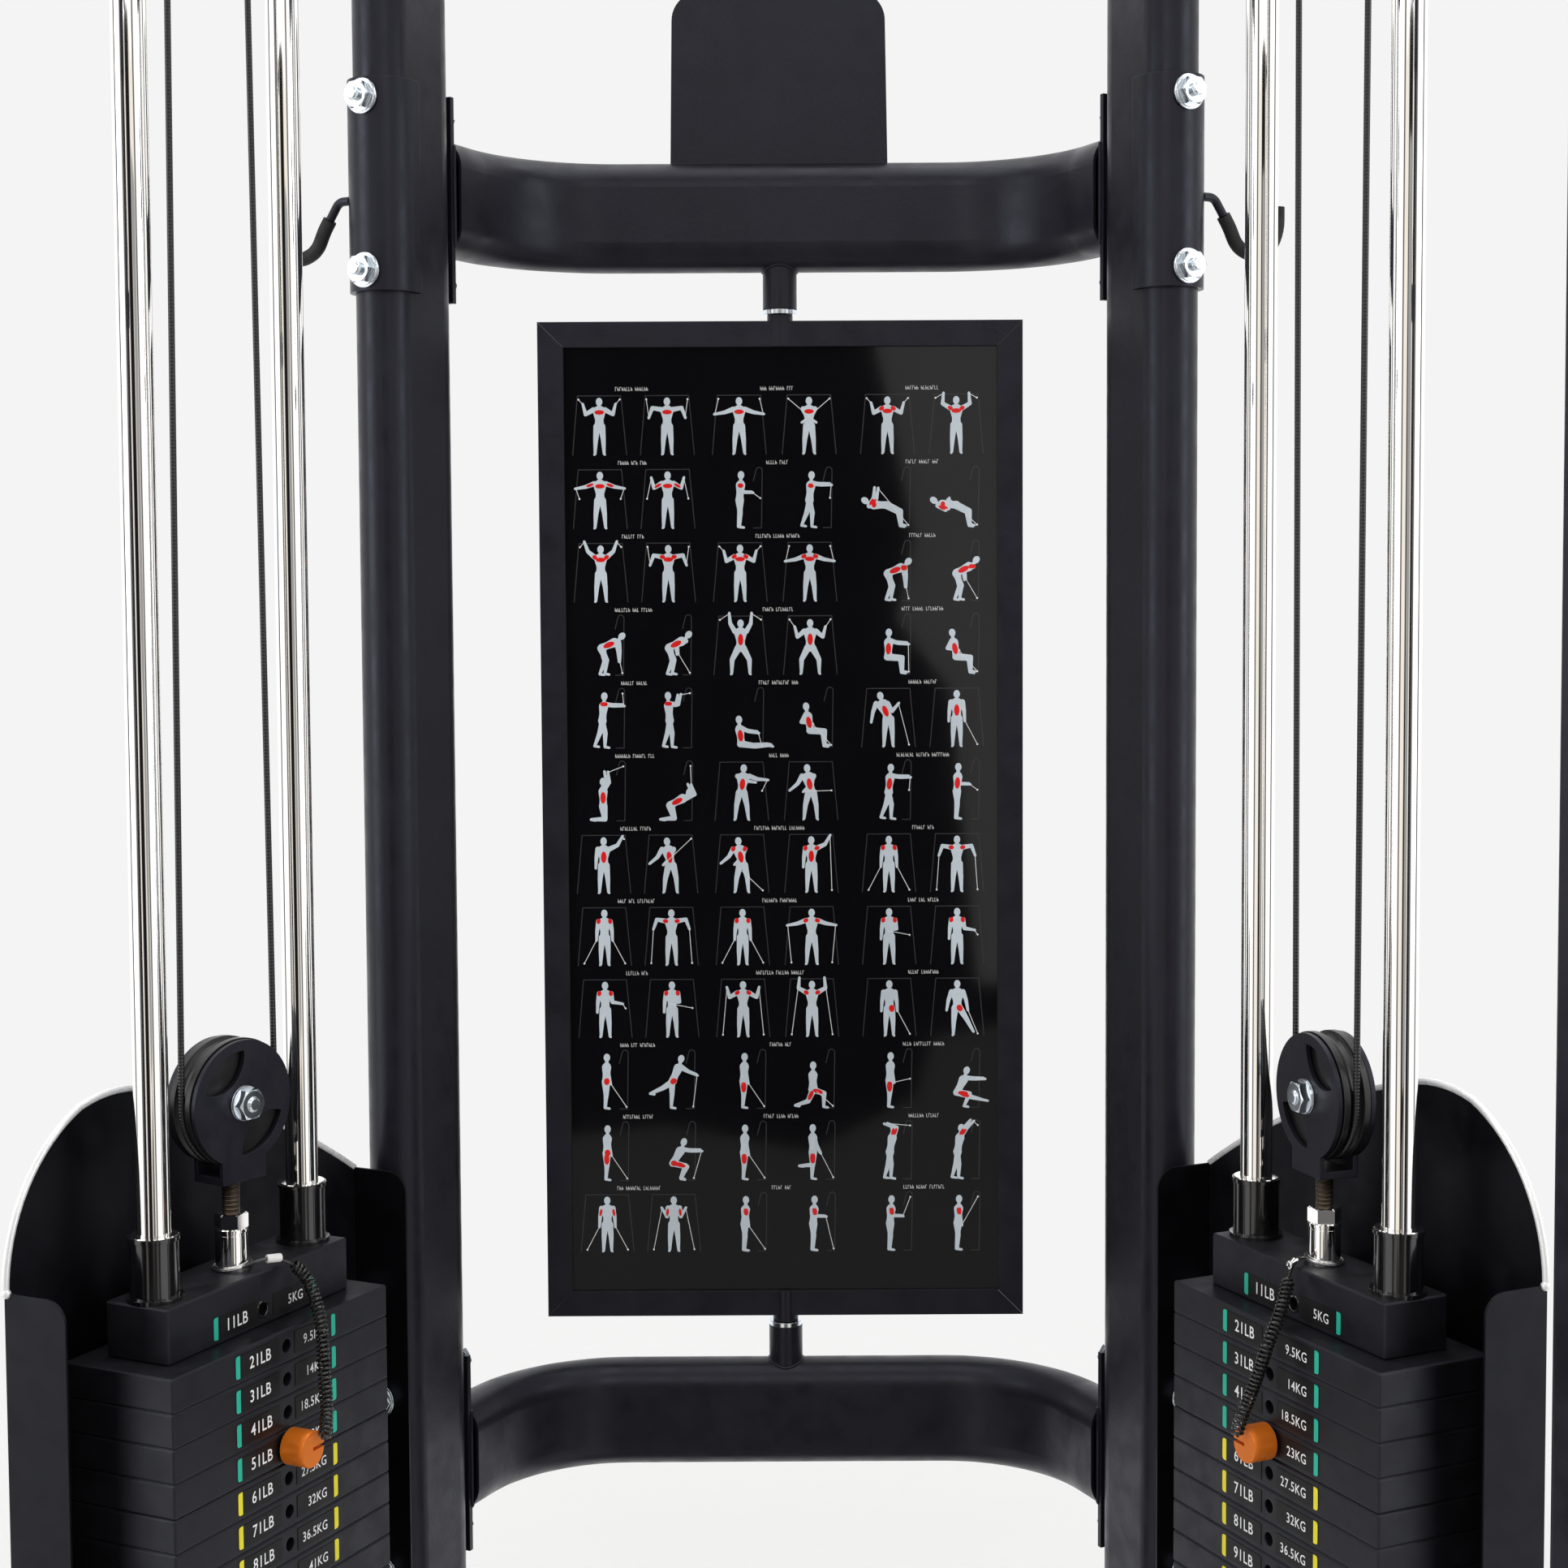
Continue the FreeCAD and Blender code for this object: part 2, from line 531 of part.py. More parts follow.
def fixed_cables():
    """Cable held by the pulleys: stack to column back and foot pulley, and stack to column front."""
    plane, p = D["cable_plane"], D["pitch"]
    low, high, foot = D["low_axis"], D["high_axis"], D["foot_axis"]
    front, back = D["run_front"], D["run_back"]
    corner = p * math.sqrt(0.5)
    near, far = D["near_leg"], D["far_leg"]

    def at(t, z):
        return V(t, plane, z)

    first = [
        Part.Arc(at(near, low), at(near - p + corner, low + corner), at(near - p, low + p)),
        Part.LineSegment(at(near - p, low + p), at(back + p, low + p)),
        Part.Arc(at(back + p, low + p), at(back + p - corner, low + corner), at(back, low)),
        Part.LineSegment(at(back, low), at(back, foot)),
        Part.Arc(at(back, foot), at((front + back) / 2, foot - D["foot_pitch"]), at(front, foot)),
    ]
    second = [
        Part.Arc(at(far, high), at(far - p + corner, high + corner), at(far - p, high + p)),
        Part.LineSegment(at(far - p, high + p), at(front + p, high + p)),
        Part.Arc(at(front + p, high + p), at(front + p - corner, high + corner), at(front, high)),
    ]
    runs = [tube_along(Part.Wire([edge.toShape() for edge in run]), D["cable_radius"])
            for run in (first, second)]
    joined("fixed_cables", on_side(group(*[shape(run) for run in runs])))


# ---------------------------------------------------------------- stack

def plate():
    """Steel plate with rod holes, stem hole and the selector pin's hole, at the origin corner."""
    body = block((0, "plate_long"), (0, "plate_wide"), (0, "plate_thick"))
    eased = doc.addObject("Part::Chamfer", "eased")
    eased.Base = body
    eased.Edges = [(edge, D["plate_edge"], D["plate_edge"]) for edge in range(1, 13)]
    return cut(eased, *plate_holes("plate_thick", "plate_wide"))


def plate_holes(thick, wide):
    rods = [rod("rod_hole", "z", (t, f"{wide} / 2", -1), f"{thick} + 2") for t in ("rod_near", "rod_far")]
    stem = rod("stem_hole", "z", ("stem_at", f"{wide} / 2", -1), f"{thick} + 2")
    pin = rod("pin_hole", "q", ("stem_at", -1, f"{thick} / 2"), "pin_reach + 3")
    return rods + [stem, pin]


def plate_run(first, last):
    """Plates numbered from the top of the stack."""
    pile = []
    for number in range(first, last + 1):
        piece = plate()
        level = D["stack_top"] - D["plate_thick"] - number * D["plate_pitch"]
        piece.Placement = SIDE.multiply(FreeCAD.Placement(V(0, 0, level), FreeCAD.Rotation()))
        pile.append(piece)
    return group(*pile)


def head_plate(_):
    """Narrower top plate that carries the selector stem."""
    body = block(("head_inset", "plate_long - head_inset"), ("head_inset", "plate_wide - head_inset + 1"),
                 ("stack_top", "stack_top + head_thick"))
    eased = doc.addObject("Part::Chamfer", "eased")
    eased.Base = body
    eased.Edges = [(edge, D["plate_edge"], D["plate_edge"]) for edge in range(1, 13)]
    rods = [rod("rod_hole + 2", "z", (t, "stack_plane", "stack_top - 1"), "head_thick + 2")
            for t in ("rod_near", "rod_far")]
    stem = rod("stem_radius + fit", "z", ("stem_at", "stack_plane", "stack_top - 1"), "head_thick + 2")
    pin = rod("pin_hole", "q", ("stem_at", "head_inset - 1", "stack_top + plate_thick / 2"), 20)
    return on_side(cut(eased, *rods, stem, pin))


def guide_collars(_):
    """Bushes that guide the head plate on the rods."""
    top = "stack_top + head_thick"
    collars = []
    for t in ("rod_near", "rod_far"):
        bush = fuse(rod("collar_radius", "z", (t, "stack_plane", top), "collar_tall"),
                    rod("rod_hole + 1.9", "z", (t, "stack_plane", "stack_top + 1"), "head_thick"),
                    rod("collar_radius + 3", "z", (t, "stack_plane", top), 3),
                    rod("collar_radius + 1", "z", (t, "stack_plane", f"{top} + collar_tall - 3"), 3))
        bore = rod("rod_radius + fit", "z", (t, "stack_plane", "stack_top - 1"),
                   "head_thick + collar_tall + 3")
        collars.append(cut(bush, bore))
    return on_side(group(*collars))


def selector_stem(_):
    """Drilled stem, its chrome boss, the threaded stud and the lock nut."""
    top = D["stack_top"] + D["head_thick"]
    low = D["stack_top"] - PLATES * D["plate_pitch"] + 8
    place = ("stem_at", "stack_plane")
    stem = fuse(rod("stem_radius", "z", (*place, low), top - low + 1),
                rod("boss_radius", "z", (*place, top), "boss_tall"))
    holes = []
    for number in range(PLATES):
        level = D["stack_top"] - D["plate_thick"] / 2 - number * D["plate_pitch"]
        holes.append(rod("pin_hole", "q", ("stem_at", "stack_plane - 20", level), 40))
    boss_top = "stack_top + head_thick + boss_tall"
    nut = cut(hexagon("nut_radius", "z", (*place, boss_top), "nut_tall"),
              rod("stud_radius + fit", "z", (*place, f"{boss_top} - 1"), 30))
    stud = rod("stud_radius", "z", (*place, boss_top), f"travel_axis - cheek_drop - ({boss_top})")
    return on_side(group(cut(stem, *holes), nut, stud))


def travelling_bracket(side):
    """U-shaped bracket: two round cheeks with lens-shaped slots, joined below the wheel, and the bolt."""
    cheeks = []
    for low in ("cheek_gap / 2", "-cheek_gap / 2 - cheek_thick"):
        disc = rod("cheek_radius", "q", (0, low, 0), "cheek_thick")
        tab = block(("-cheek_tab / 2", "cheek_tab / 2"), (low, f"{low} + cheek_thick"), ("-cheek_drop", 0))
        slots = fuse(*[lens(low, centre) for centre in ("slot_out", "-slot_out")])
        slots.Placement = FreeCAD.Placement(V(), FreeCAD.Rotation(V(0, 1, 0), D["slot_turn"]))
        cheeks.append(cut(fuse(disc, tab), slots, rod("axle_radius + fit", "q", (0, f"{low} - 1", 0), 6)))
    floor = block(("-cheek_tab / 2", "cheek_tab / 2"), ("-cheek_gap / 2 - 1", "cheek_gap / 2 + 1"),
                  ("-cheek_drop", "6 - cheek_drop"))
    bolt_low = "-cheek_gap / 2 - cheek_thick"
    bolt = fuse(rod("axle_radius", "q", (0, f"{bolt_low} - 9", 0), "cheek_gap + 2 * cheek_thick + 18"),
                hexagon(11, "q", (0, f"{bolt_low} - 8", 0), 6.5),
                rod(13, "q", (0, f"{bolt_low} - 1.5", 0), 1.5),
                rod(13, "q", (0, "cheek_gap / 2 + cheek_thick", 0), 1.5),
                hexagon(11, "q", (0, "cheek_gap / 2 + cheek_thick + 1.5", 0), 8))
    return on_side(group(fuse(*cheeks, floor), bolt),
                   (D["stem_at"], D["stack_plane"], D["travel_axis"]), FORM[side])


def lens(low, centre):
    """Slot cutter through a cheek: what a disc about the axle and a disc above, or below, it share."""
    def disc(start, length):
        return rod("cheek_radius - 8", "q", (0, start, 0), length)
    beyond = rod("slot_round", "q", (0, f"{low} - 3", centre), "cheek_thick + 6")
    return cut(disc(f"{low} - 1", "cheek_thick + 2"), cut(disc(f"{low} - 2", "cheek_thick + 4"), beyond))


def travelling_wheel(side):
    return on_side(wheel("travel_pitch", "travel_rim", "travel_wide", "axle_radius + fit"),
                   (D["stem_at"], D["stack_plane"], D["travel_axis"]), FORM[side])


LEG_GAP = 0.4


def lift_cables(side):
    """The two legs between the travelling pulley and the roof pulleys, and the turn under the wheel."""
    turn = math.radians(FORM[side])
    reach = V(math.cos(turn), math.sin(turn), 0) * D["travel_pitch"]
    hub = V(D["stem_at"], D["stack_plane"], D["travel_axis"])
    near, far = hub - reach, hub + reach
    under = Part.Wire(Part.Arc(far, hub - V(0, 0, D["travel_pitch"]), near).toShape())
    legs = []
    for foot, t, z in ((near, D["near_leg"], D["low_axis"]), (far, D["far_leg"], D["high_axis"])):
        leg = V(t, D["cable_plane"], z) - foot
        start = foot + leg * (LEG_GAP / leg.Length)
        legs.append(shape(Part.makeCylinder(D["cable_radius"], leg.Length - 2 * LEG_GAP, start, leg)))
    return on_side(group(shape(tube_along(under, D["cable_radius"])), *legs))


def selector_pin(_):
    """Steel pin in the fourth plate, with its slotted knob."""
    level = D["stack_top"] - D["plate_thick"] / 2 - (SELECTED - 1) * D["plate_pitch"]
    start = "-knob_clear - knob_long"
    knob = rod("knob_radius", "q", ("stem_at", start, level), "knob_long")
    slot = block(("stem_at", "stem_at + knob_radius"), (f"{start} - 1", f"{start} + 7"),
                 (level - 1.5, level + 1.5))
    shaft = rod("pin_radius", "q", ("stem_at", "-knob_clear - 1", level), "pin_reach - 2")
    return on_side(fuse(cut(knob, slot), shaft))


LANYARD = {
    "left": [(124, 35, 659), (134, 29, 663), (146, 23, 662), (157, 15, 657), (164, 6, 645), (163, -3, 629),
             (156, -14, 608), (151, -18, 586), (148, -22, 564), (143, -27, 546), (133, -31, 533)],
    "right": [(134, 35, 660), (131, 28, 662), (128, 20, 660), (124, 13, 651), (119, 6, 638), (115, -3, 624),
              (114, -14, 604), (119, -18, 583), (125, -22, 563), (129, -27, 546), (129, -31, 533)],
}
COIL_FROM = 3
WIRE_RADIUS = 1.25
COIL_RADIUS = 5.35


def lanyard(side):
    """Key ring round the stem's boss, plain lead, and the curly stretch down to the knob."""
    route = LANYARD[side]
    lead = tube_along(bent_wire(route[:COIL_FROM + 1]), WIRE_RADIUS)
    coil = tube_along(bent_wire(route[COIL_FROM:]), COIL_RADIUS)
    ring = feature("Torus", ("stem_at", "stack_plane", "stack_top + head_thick + 1.4"),
                   Radius1="boss_radius + 1.8", Radius2=1.2)
    return on_side(group(shape(lead.fuse(coil)), ring))


def guide_rods():
    rods = [rod("rod_radius", "z", (t, "stack_plane", "base_top"), "house_low + shelf_thick - base_top")
            for t in ("rod_near", "rod_far")]
    joined("guide_rods", on_side(group(*rods)))


def stack_bumpers():
    """Rubber rings round the rods that the stack lands on."""
    floor = D["stack_top"] - PLATES * D["plate_pitch"]
    rings = []
    for t in ("rod_near", "rod_far"):
        ring = rod("bumper_radius", "z", (t, "stack_plane", "base_top"), floor - D["base_top"])
        rings.append(cut(ring, rod("rod_radius + fit", "z", (t, "stack_plane", "base_top - 1"), 80)))
    joined("stack_bumpers", on_side(group(*rings)))


def shroud():
    """Bent sheet behind the stack: back panel with an arched top, and a lip at each end."""
    near, far, low, high = D["shroud_near"], D["shroud_far"], D["shroud_low"], D["lip_high"]
    peak = D["shroud_peak"]
    panel = extrude(
        sketch("tz", (0, D["shroud_plane"], 0), outline(
            ((far, low),), ((far, high),),
            ((240, 748), (104, peak - 2)),
            ((75, peak), (44, peak - 5)),
            ((-5, 755), (near, high)),
            ((near, low),))),
        V(0, 1, 0), "sheet")
    inner = D["lip_round"] * (1 - math.sqrt(0.5))
    edge = D["lip_plane"]
    lips = []
    for t in (near, far - D["sheet"]):
        lips.append(extrude(
            sketch("qz", (t, 0, 0), outline(
                ((edge, low),), ((edge, high - D["lip_round"]),),
                ((edge + inner, high - inner), (edge + D["lip_round"], high)),
                ((D["shroud_plane"] + 1, high),), ((D["shroud_plane"] + 1, low),))),
            V(1, 0, 0), "sheet"))
    holes = [rod("axle_radius + fit", "t", ("shroud_far - 10", "frame_plane", level), 20)
             for level in bolt_levels()[2:]]
    joined("shrouds", on_side(cut(fuse(panel, *lips), *holes)))


# ---------------------------------------------------------------- column and carriage

def front_column():
    """Drilled tube that the carriage runs on."""
    centre = ((D["column_front"] + D["column_back"]) / 2, (D["house_in"] + D["house_out"]) / 2)
    wide, tall = D["column_back"] - D["column_front"], D["house_out"] - D["house_in"]
    wall = D["column_wall"]
    section = sketch("tq", (0, 0, D["column_low"]),
                     round_rectangle(centre, wide, tall, 6)
                     + round_rectangle(centre, wide - 2 * wall, tall - 2 * wall, 3))
    tube = extrude(section, V(0, 0, 1), "column_high - column_low")
    holes = [rod("hole_radius", "q", (centre[0], "house_in - 1", D["carriage"] + step * D["hole_pitch"]), 6)
             for step in range(-20, 2)]
    joined("front_columns", on_side(cut(tube, *holes)))


def carriage(_):
    """Sleeve with the swivel's two lugs, the cable anchor and the pull pin's barrel."""
    centre = ((D["column_front"] + D["column_back"]) / 2, (D["house_in"] + D["house_out"]) / 2)
    inner = (D["column_back"] - D["column_front"] + 2 * D["sleeve_fit"],
             D["house_out"] - D["house_in"] + 2 * D["sleeve_fit"])
    wall = D["sleeve_wall"]
    low = D["carriage"] - D["sleeve_tall"] / 2
    section = sketch("tq", (0, 0, low),
                     round_rectangle(centre, inner[0] + 2 * wall, inner[1] + 2 * wall, 12)
                     + round_rectangle(centre, inner[0], inner[1], 5))
    sleeve = extrude(section, V(0, 0, 1), "sleeve_tall")
    reach = ("run_front - lug_reach", "column_front - sleeve_fit - 2")
    across = ("cable_plane - lug_reach", "cable_plane + lug_reach")
    upper = block(reach, across, ("carriage + lug_level", "carriage + lug_level + lug_thick"))
    lower = block(reach, across, ("carriage - lug_level - lug_thick", "carriage - lug_level"))
    anchor = rod(9, "z", ("run_front", "cable_plane", "carriage + lug_level + lug_thick - 1"), 16)
    barrel = rod(13, "q", (centre[0], D["house_in"] - wall - 13, "carriage"), 16)
    upper_bore = rod("axle_radius + fit", "z", ("run_front", "cable_plane", "carriage + lug_level - 1"), 9)
    lower_bore = rod("axle_radius + 2 + fit", "z",
                     ("run_front", "cable_plane", "carriage - lug_level - lug_thick - 1"), 13)
    pin_bore = rod("plunger_radius + fit", "q", (centre[0], 0, "carriage"), 26.9)
    return on_side(cut(fuse(sleeve, upper, lower, anchor, barrel), upper_bore, lower_bore, pin_bore))


def pull_pin(_):
    """Plunger and knob, drawn back from the column's hole."""
    centre = (D["column_front"] + D["column_back"]) / 2
    tip = D["house_in"] - 0.1
    knob_low = D["house_in"] - D["sleeve_wall"] - 13 - D["pull_travel"] - 16
    shaft = rod("plunger_radius", "q", (centre, knob_low, "carriage"), tip - knob_low)
    knob = rod("pull_knob", "q", (centre, knob_low - 8, "carriage"), 22)
    return on_side(fuse(shaft, knob))


def swivel_bracket(_):
    """Fork that turns on the carriage's lugs, its wheel's bolt, and the cable's turn over that wheel."""
    pivot, plane, level = "run_front", "cable_plane", "carriage"
    side = "fork_gap + fork_plate"
    flats = []
    for z in (("carriage + lug_level - 6", "carriage + lug_level - fit"),
              ("carriage - lug_level + fit", "carriage - lug_level + 6")):
        flats.append(block(("fork_front", "run_front - 2"),
                           (f"{plane} - ({side})", f"{plane} + ({side})"), z))
        flats.append(rod(12, "z", (pivot, plane, z[0]), f"({z[1]}) - ({z[0]})"))
    cheeks = [block(("fork_front", "run_front - 12"), q,
                    ("carriage - lug_level + 5", "carriage + lug_level - 5"))
              for q in ((f"{plane} - ({side})", f"{plane} - fork_gap"),
                        (f"{plane} + fork_gap", f"{plane} + {side}"))]
    top_pin = rod("axle_radius", "z", (pivot, plane, "carriage + lug_level - 5"), 12)
    low_pin = rod("axle_radius + 2", "z", (pivot, plane, "carriage - lug_level - lug_thick"),
                  "lug_thick + 5")
    cable_way = rod(4.5, "z", (pivot, plane, "carriage - lug_level - lug_thick - 1"), 30)
    exit_way = rod(4.5, "z", ("run_front - 2 * swivel_pitch", plane, "carriage - lug_level - 1"), 12)
    bolt_hole = rod("axle_radius - 1 + fit", "q", ("run_front - swivel_pitch", 0, level), 100)
    fork = cut(fuse(*flats, *cheeks, top_pin, low_pin), cable_way, exit_way, bolt_hole)
    low = f"{plane} - ({side})"
    bolt = fuse(rod("axle_radius - 1", "q", ("run_front - swivel_pitch", f"{low} - 3", level),
                    f"2 * ({side}) + 6"),
                hexagon(8.5, "q", ("run_front - swivel_pitch", f"{low} - 6", level), 6),
                hexagon(8.5, "q", ("run_front - swivel_pitch", f"{plane} + {side}", level), 6))
    front, p, z, q = D["run_front"], D["swivel_pitch"], D["carriage"], D["cable_plane"]
    over = Part.Wire([
        Part.Arc(V(front, q, z), V(front - p, q, z + p), V(front - 2 * p, q, z)).toShape(),
        Part.LineSegment(V(front - 2 * p, q, z), V(front - 2 * p, q, z - D["lug_level"])).toShape(),
    ])
    return on_side(group(fork, bolt, shape(tube_along(over, D["cable_radius"]))))


def swivel_wheel(_):
    return on_side(wheel("swivel_pitch", "swivel_rim", "wheel_wide", "axle_radius - 1 + fit"),
                   (D["run_front"] - D["swivel_pitch"], D["cable_plane"], D["carriage"]))


def carriage_cables(_):
    """The anchored run above the carriage and the working run below it."""
    low = "carriage + lug_level + lug_thick + 15"
    above = rod("cable_radius", "z", ("run_front", "cable_plane", low), f"high_axis - ({low})")
    below = rod("cable_radius", "z", ("run_front", "cable_plane", "foot_axis"), "carriage - foot_axis")
    return on_side(group(above, below))


BALL_LEVEL = D["carriage"] - D["lug_level"] - D["ball_radius"]
EYE_LEVEL = BALL_LEVEL - D["ball_radius"] - 12


def cable_end(_):
    """Rubber stop ball, its ferrule and the eye that the handle clips to."""
    front = D["run_front"] - 2 * D["swivel_pitch"]
    ball = feature("Sphere", (front, "cable_plane", BALL_LEVEL - 0.1), Radius="ball_radius")
    neck = rod(6, "z", (front, "cable_plane", EYE_LEVEL + 8), BALL_LEVEL - EYE_LEVEL - 14)
    eye = feature("Torus", (front, "cable_plane", EYE_LEVEL), ALONG["t"], Radius1=8, Radius2=2.5)
    return on_side(fuse(ball, neck, eye))


def handle(_):
    """Snap hook, webbing strap and grip."""
    front, plane = D["run_front"] - 2 * D["swivel_pitch"], D["cable_plane"]
    half, grip = D["grip_half"], EYE_LEVEL - D["grip_drop"]
    link_top = EYE_LEVEL - 2.7
    link_low = link_top - 56
    hook = shape(tube_along(link_wire(front, plane, link_top, link_low, 18), 2.6))
    strap = strap_outline(plane, link_low + 2.7, grip)
    webbing = extrude(sketch("qz", (front - D["strap_half"], 0, 0), strap), V(1, 0, 0), "strap_half * 2")
    bore = rod("grip_radius - 2.8", "q", (front, plane - half - 20, grip), 2 * half + 40)
    bar = cut(rod("grip_radius", "q", (front, plane - half, grip), 2 * half), bore)
    return on_side(group(hook, webbing, bar))


def link_wire(t, q, high, low, half):
    """Snap hook's closed line: half-round top, straight sides, flat bottom with small corners."""
    corner = 4
    bulge = corner * (1 - math.sqrt(0.5))
    shoulder = high - half
    return Part.Wire([
        Part.Arc(V(t - half, q, shoulder), V(t, q, high), V(t + half, q, shoulder)).toShape(),
        Part.LineSegment(V(t + half, q, shoulder), V(t + half, q, low + corner)).toShape(),
        Part.Arc(V(t + half, q, low + corner), V(t + half - bulge, q, low + bulge),
                 V(t + half - corner, q, low)).toShape(),
        Part.LineSegment(V(t + half - corner, q, low), V(t - half + corner, q, low)).toShape(),
        Part.Arc(V(t - half + corner, q, low), V(t - half + bulge, q, low + bulge),
                 V(t - half, q, low + corner)).toShape(),
        Part.LineSegment(V(t - half, q, low + corner), V(t - half, q, shoulder)).toShape(),
    ])


def strap_outline(plane, apex, grip):
    """Webbing loop seen from the front: inner line over the snap hook, and through the grip's bore."""
    thick = D["strap_thick"]
    wide = D["grip_half"] + 6

    def line(out):
        foot = grip - thick / 2 + (thick - out)
        near, far, knee = 8 + out, wide + out, grip + 14
        return [((plane + near, apex + out),), ((plane + far, knee),), ((plane + far, foot),),
                ((plane - far, foot),), ((plane - far, knee),), ((plane - near, apex + out),)]

    return outline(*line(thick)) + outline(*line(0))


# ---------------------------------------------------------------- placard and fasteners

def placard():
    """Swivelling chart: mitred frame with its pivot pins, and the chart board inside it."""
    half, low, high, edge = D["placard_wide"] / 2, D["placard_low"], D["placard_high"], D["placard_edge"]
    deep = ("bar_back - placard_deep / 2", "bar_back + placard_deep / 2")
    outer = block(("-placard_wide / 2", "placard_wide / 2"), deep, ("placard_low", "placard_high"))
    hole = block((edge - half, half - edge), (D["bar_back"] - 20, D["bar_back"] + 20),
                 (low + edge, high - edge))
    pins = []
    for start, boss in (("placard_high - 3", "placard_high - placard_edge"),
                        ("placard_low - pivot_gap - 27", "placard_low - 6")):
        pins.append(rod("pivot_radius", "z", (0, "bar_back", start), "pivot_gap + 30"))
        pins.append(rod("pivot_boss", "z", (0, "bar_back", boss), "placard_edge + 6"))
    node("placard_frame", fuse(cut(outer, hole), *pins))
    node("chart_board", block((edge - half, half - edge),
                              ("bar_back - chart_thick / 2", "bar_back + chart_thick / 2"),
                              (low + edge, high - edge)))


def pivot_washers():
    """Plain washers between the crossbars' sockets and the placard's pivots."""
    washers = []
    for level in ("placard_high + pivot_gap - 4.5", "placard_low - pivot_gap + 0.5"):
        washers.append(cut(rod("socket_radius", "z", (0, "bar_back", level), 4),
                           rod("pivot_radius + fit", "z", (0, "bar_back", f"{level} - 1"), 6)))
    return washers


def through_bolt(level, near, far):
    """Bolt along t with a washer and nut at each end."""
    place = ("frame_plane", level)
    return fuse(rod("axle_radius", "t", (near - 14, *place), far - near + 28),
                rod(13, "t", (near - 2, *place), 2), hexagon(10.5, "t", (near - 11, *place), 9),
                rod(13, "t", (far, *place), 2), hexagon(10.5, "t", (far + 2, *place), 9))


def axle_bolt(t, q_low, q_high, level, gap):
    """Bolt along q through a pulley, with the spacers that centre the wheel."""
    plane, half = D["cable_plane"], D["wheel_wide"] / 2 + gap
    bolt = fuse(rod("axle_radius", "q", (t, q_low - 10, level), q_high - q_low + 20),
                hexagon(10.5, "q", (t, q_low - 8, level), 8), hexagon(10.5, "q", (t, q_high, level), 8))
    inner, outer = D["house_in"], D["house_out"]
    spacers = []
    for low, high in ((inner + gap, plane - half), (plane + half, outer - gap)):
        spacers.append(cut(rod(9, "q", (t, low, level), high - low),
                           rod("axle_radius + fit", "q", (t, low - 1, level), high - low + 2)))
    return [bolt, *spacers]


def fasteners():
    shell = D["upright_at"] - D["tube_deep"] / 2 - D["saddle_thick"]
    plate_back = D["end_plate_at"] + D["end_plate"]
    upper, lower = bolt_levels()[:2], bolt_levels()[2:]
    pieces = [through_bolt(level, shell, plate_back) for level in upper]
    pieces += [through_bolt(level, D["shroud_far"] - D["sheet"], plate_back) for level in lower]
    wall, gap = D["house_wall"], 0.2
    for t, z in FIXED_WHEELS.values():
        pieces += axle_bolt(t, D["house_in"] - wall, D["house_out"] + wall, z, gap)
    pieces += axle_bolt(D["run_back"] - D["foot_pitch"], D["house_in"] - wall, D["house_out"] + wall,
                        D["foot_axis"], gap)
    left = on_side(group(*pieces))
    node("frame_bolts", group(left, mirror(left), *pivot_washers()))


# ---------------------------------------------------------------- assembly

joined("rear_uprights", rear_upright())
upper_crossbar()
lower_crossbar()
joined("upright_saddles", saddle())
joined("hook_sleeves", hook_sleeve())
base_frame()
foot_pads()
pullup_bar()
pulley_housings()
fixed_wheels()
fixed_cables()
guide_rods()
stack_bumpers()
shroud()
joined("lower_stacks", plate_run(SELECTED, PLATES - 1))
both_sides("selected_plates", lambda _: plate_run(0, SELECTED - 1))
both_sides("head_plate", head_plate)
both_sides("guide_collars", guide_collars)
both_sides("selector_stem", selector_stem)
both_sides("travelling_bracket", travelling_bracket, "own form")
both_sides("travelling_wheel", travelling_wheel, "own form")
both_sides("lift_cables", lift_cables, "own form")
both_sides("selector_pin", selector_pin)
both_sides("lanyard", lanyard, "own form")
front_column()
both_sides("carriage", carriage)
both_sides("pull_pin", pull_pin)
both_sides("swivel_bracket", swivel_bracket)
both_sides("swivel_wheel", swivel_wheel)
both_sides("carriage_cables", carriage_cables)
both_sides("cable_end", cable_end)
both_sides("handle", handle)
placard()
fasteners()
doc.recompute()

for item in doc.Objects:
    if any(state in ("Invalid", "Error") for state in item.State):
        raise RuntimeError(f"{item.Name} ({item.Label}) did not compute: {item.State}")
os.makedirs("parts", exist_ok=True)
total = FreeCAD.BoundBox()
for label, piece in sorted(nodes.items()):
    solid = piece.Shape
    if solid.isNull() or not solid.isValid() or not solid.Solids:
        raise RuntimeError(f"{label} has no valid shape")
    solid.exportStep(f"parts/{label}.step")
    total.add(solid.BoundBox)
print(len(nodes), "nodes", total)
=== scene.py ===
import json
import math

import bpy
import numpy as np
from mathutils import Matrix, Vector

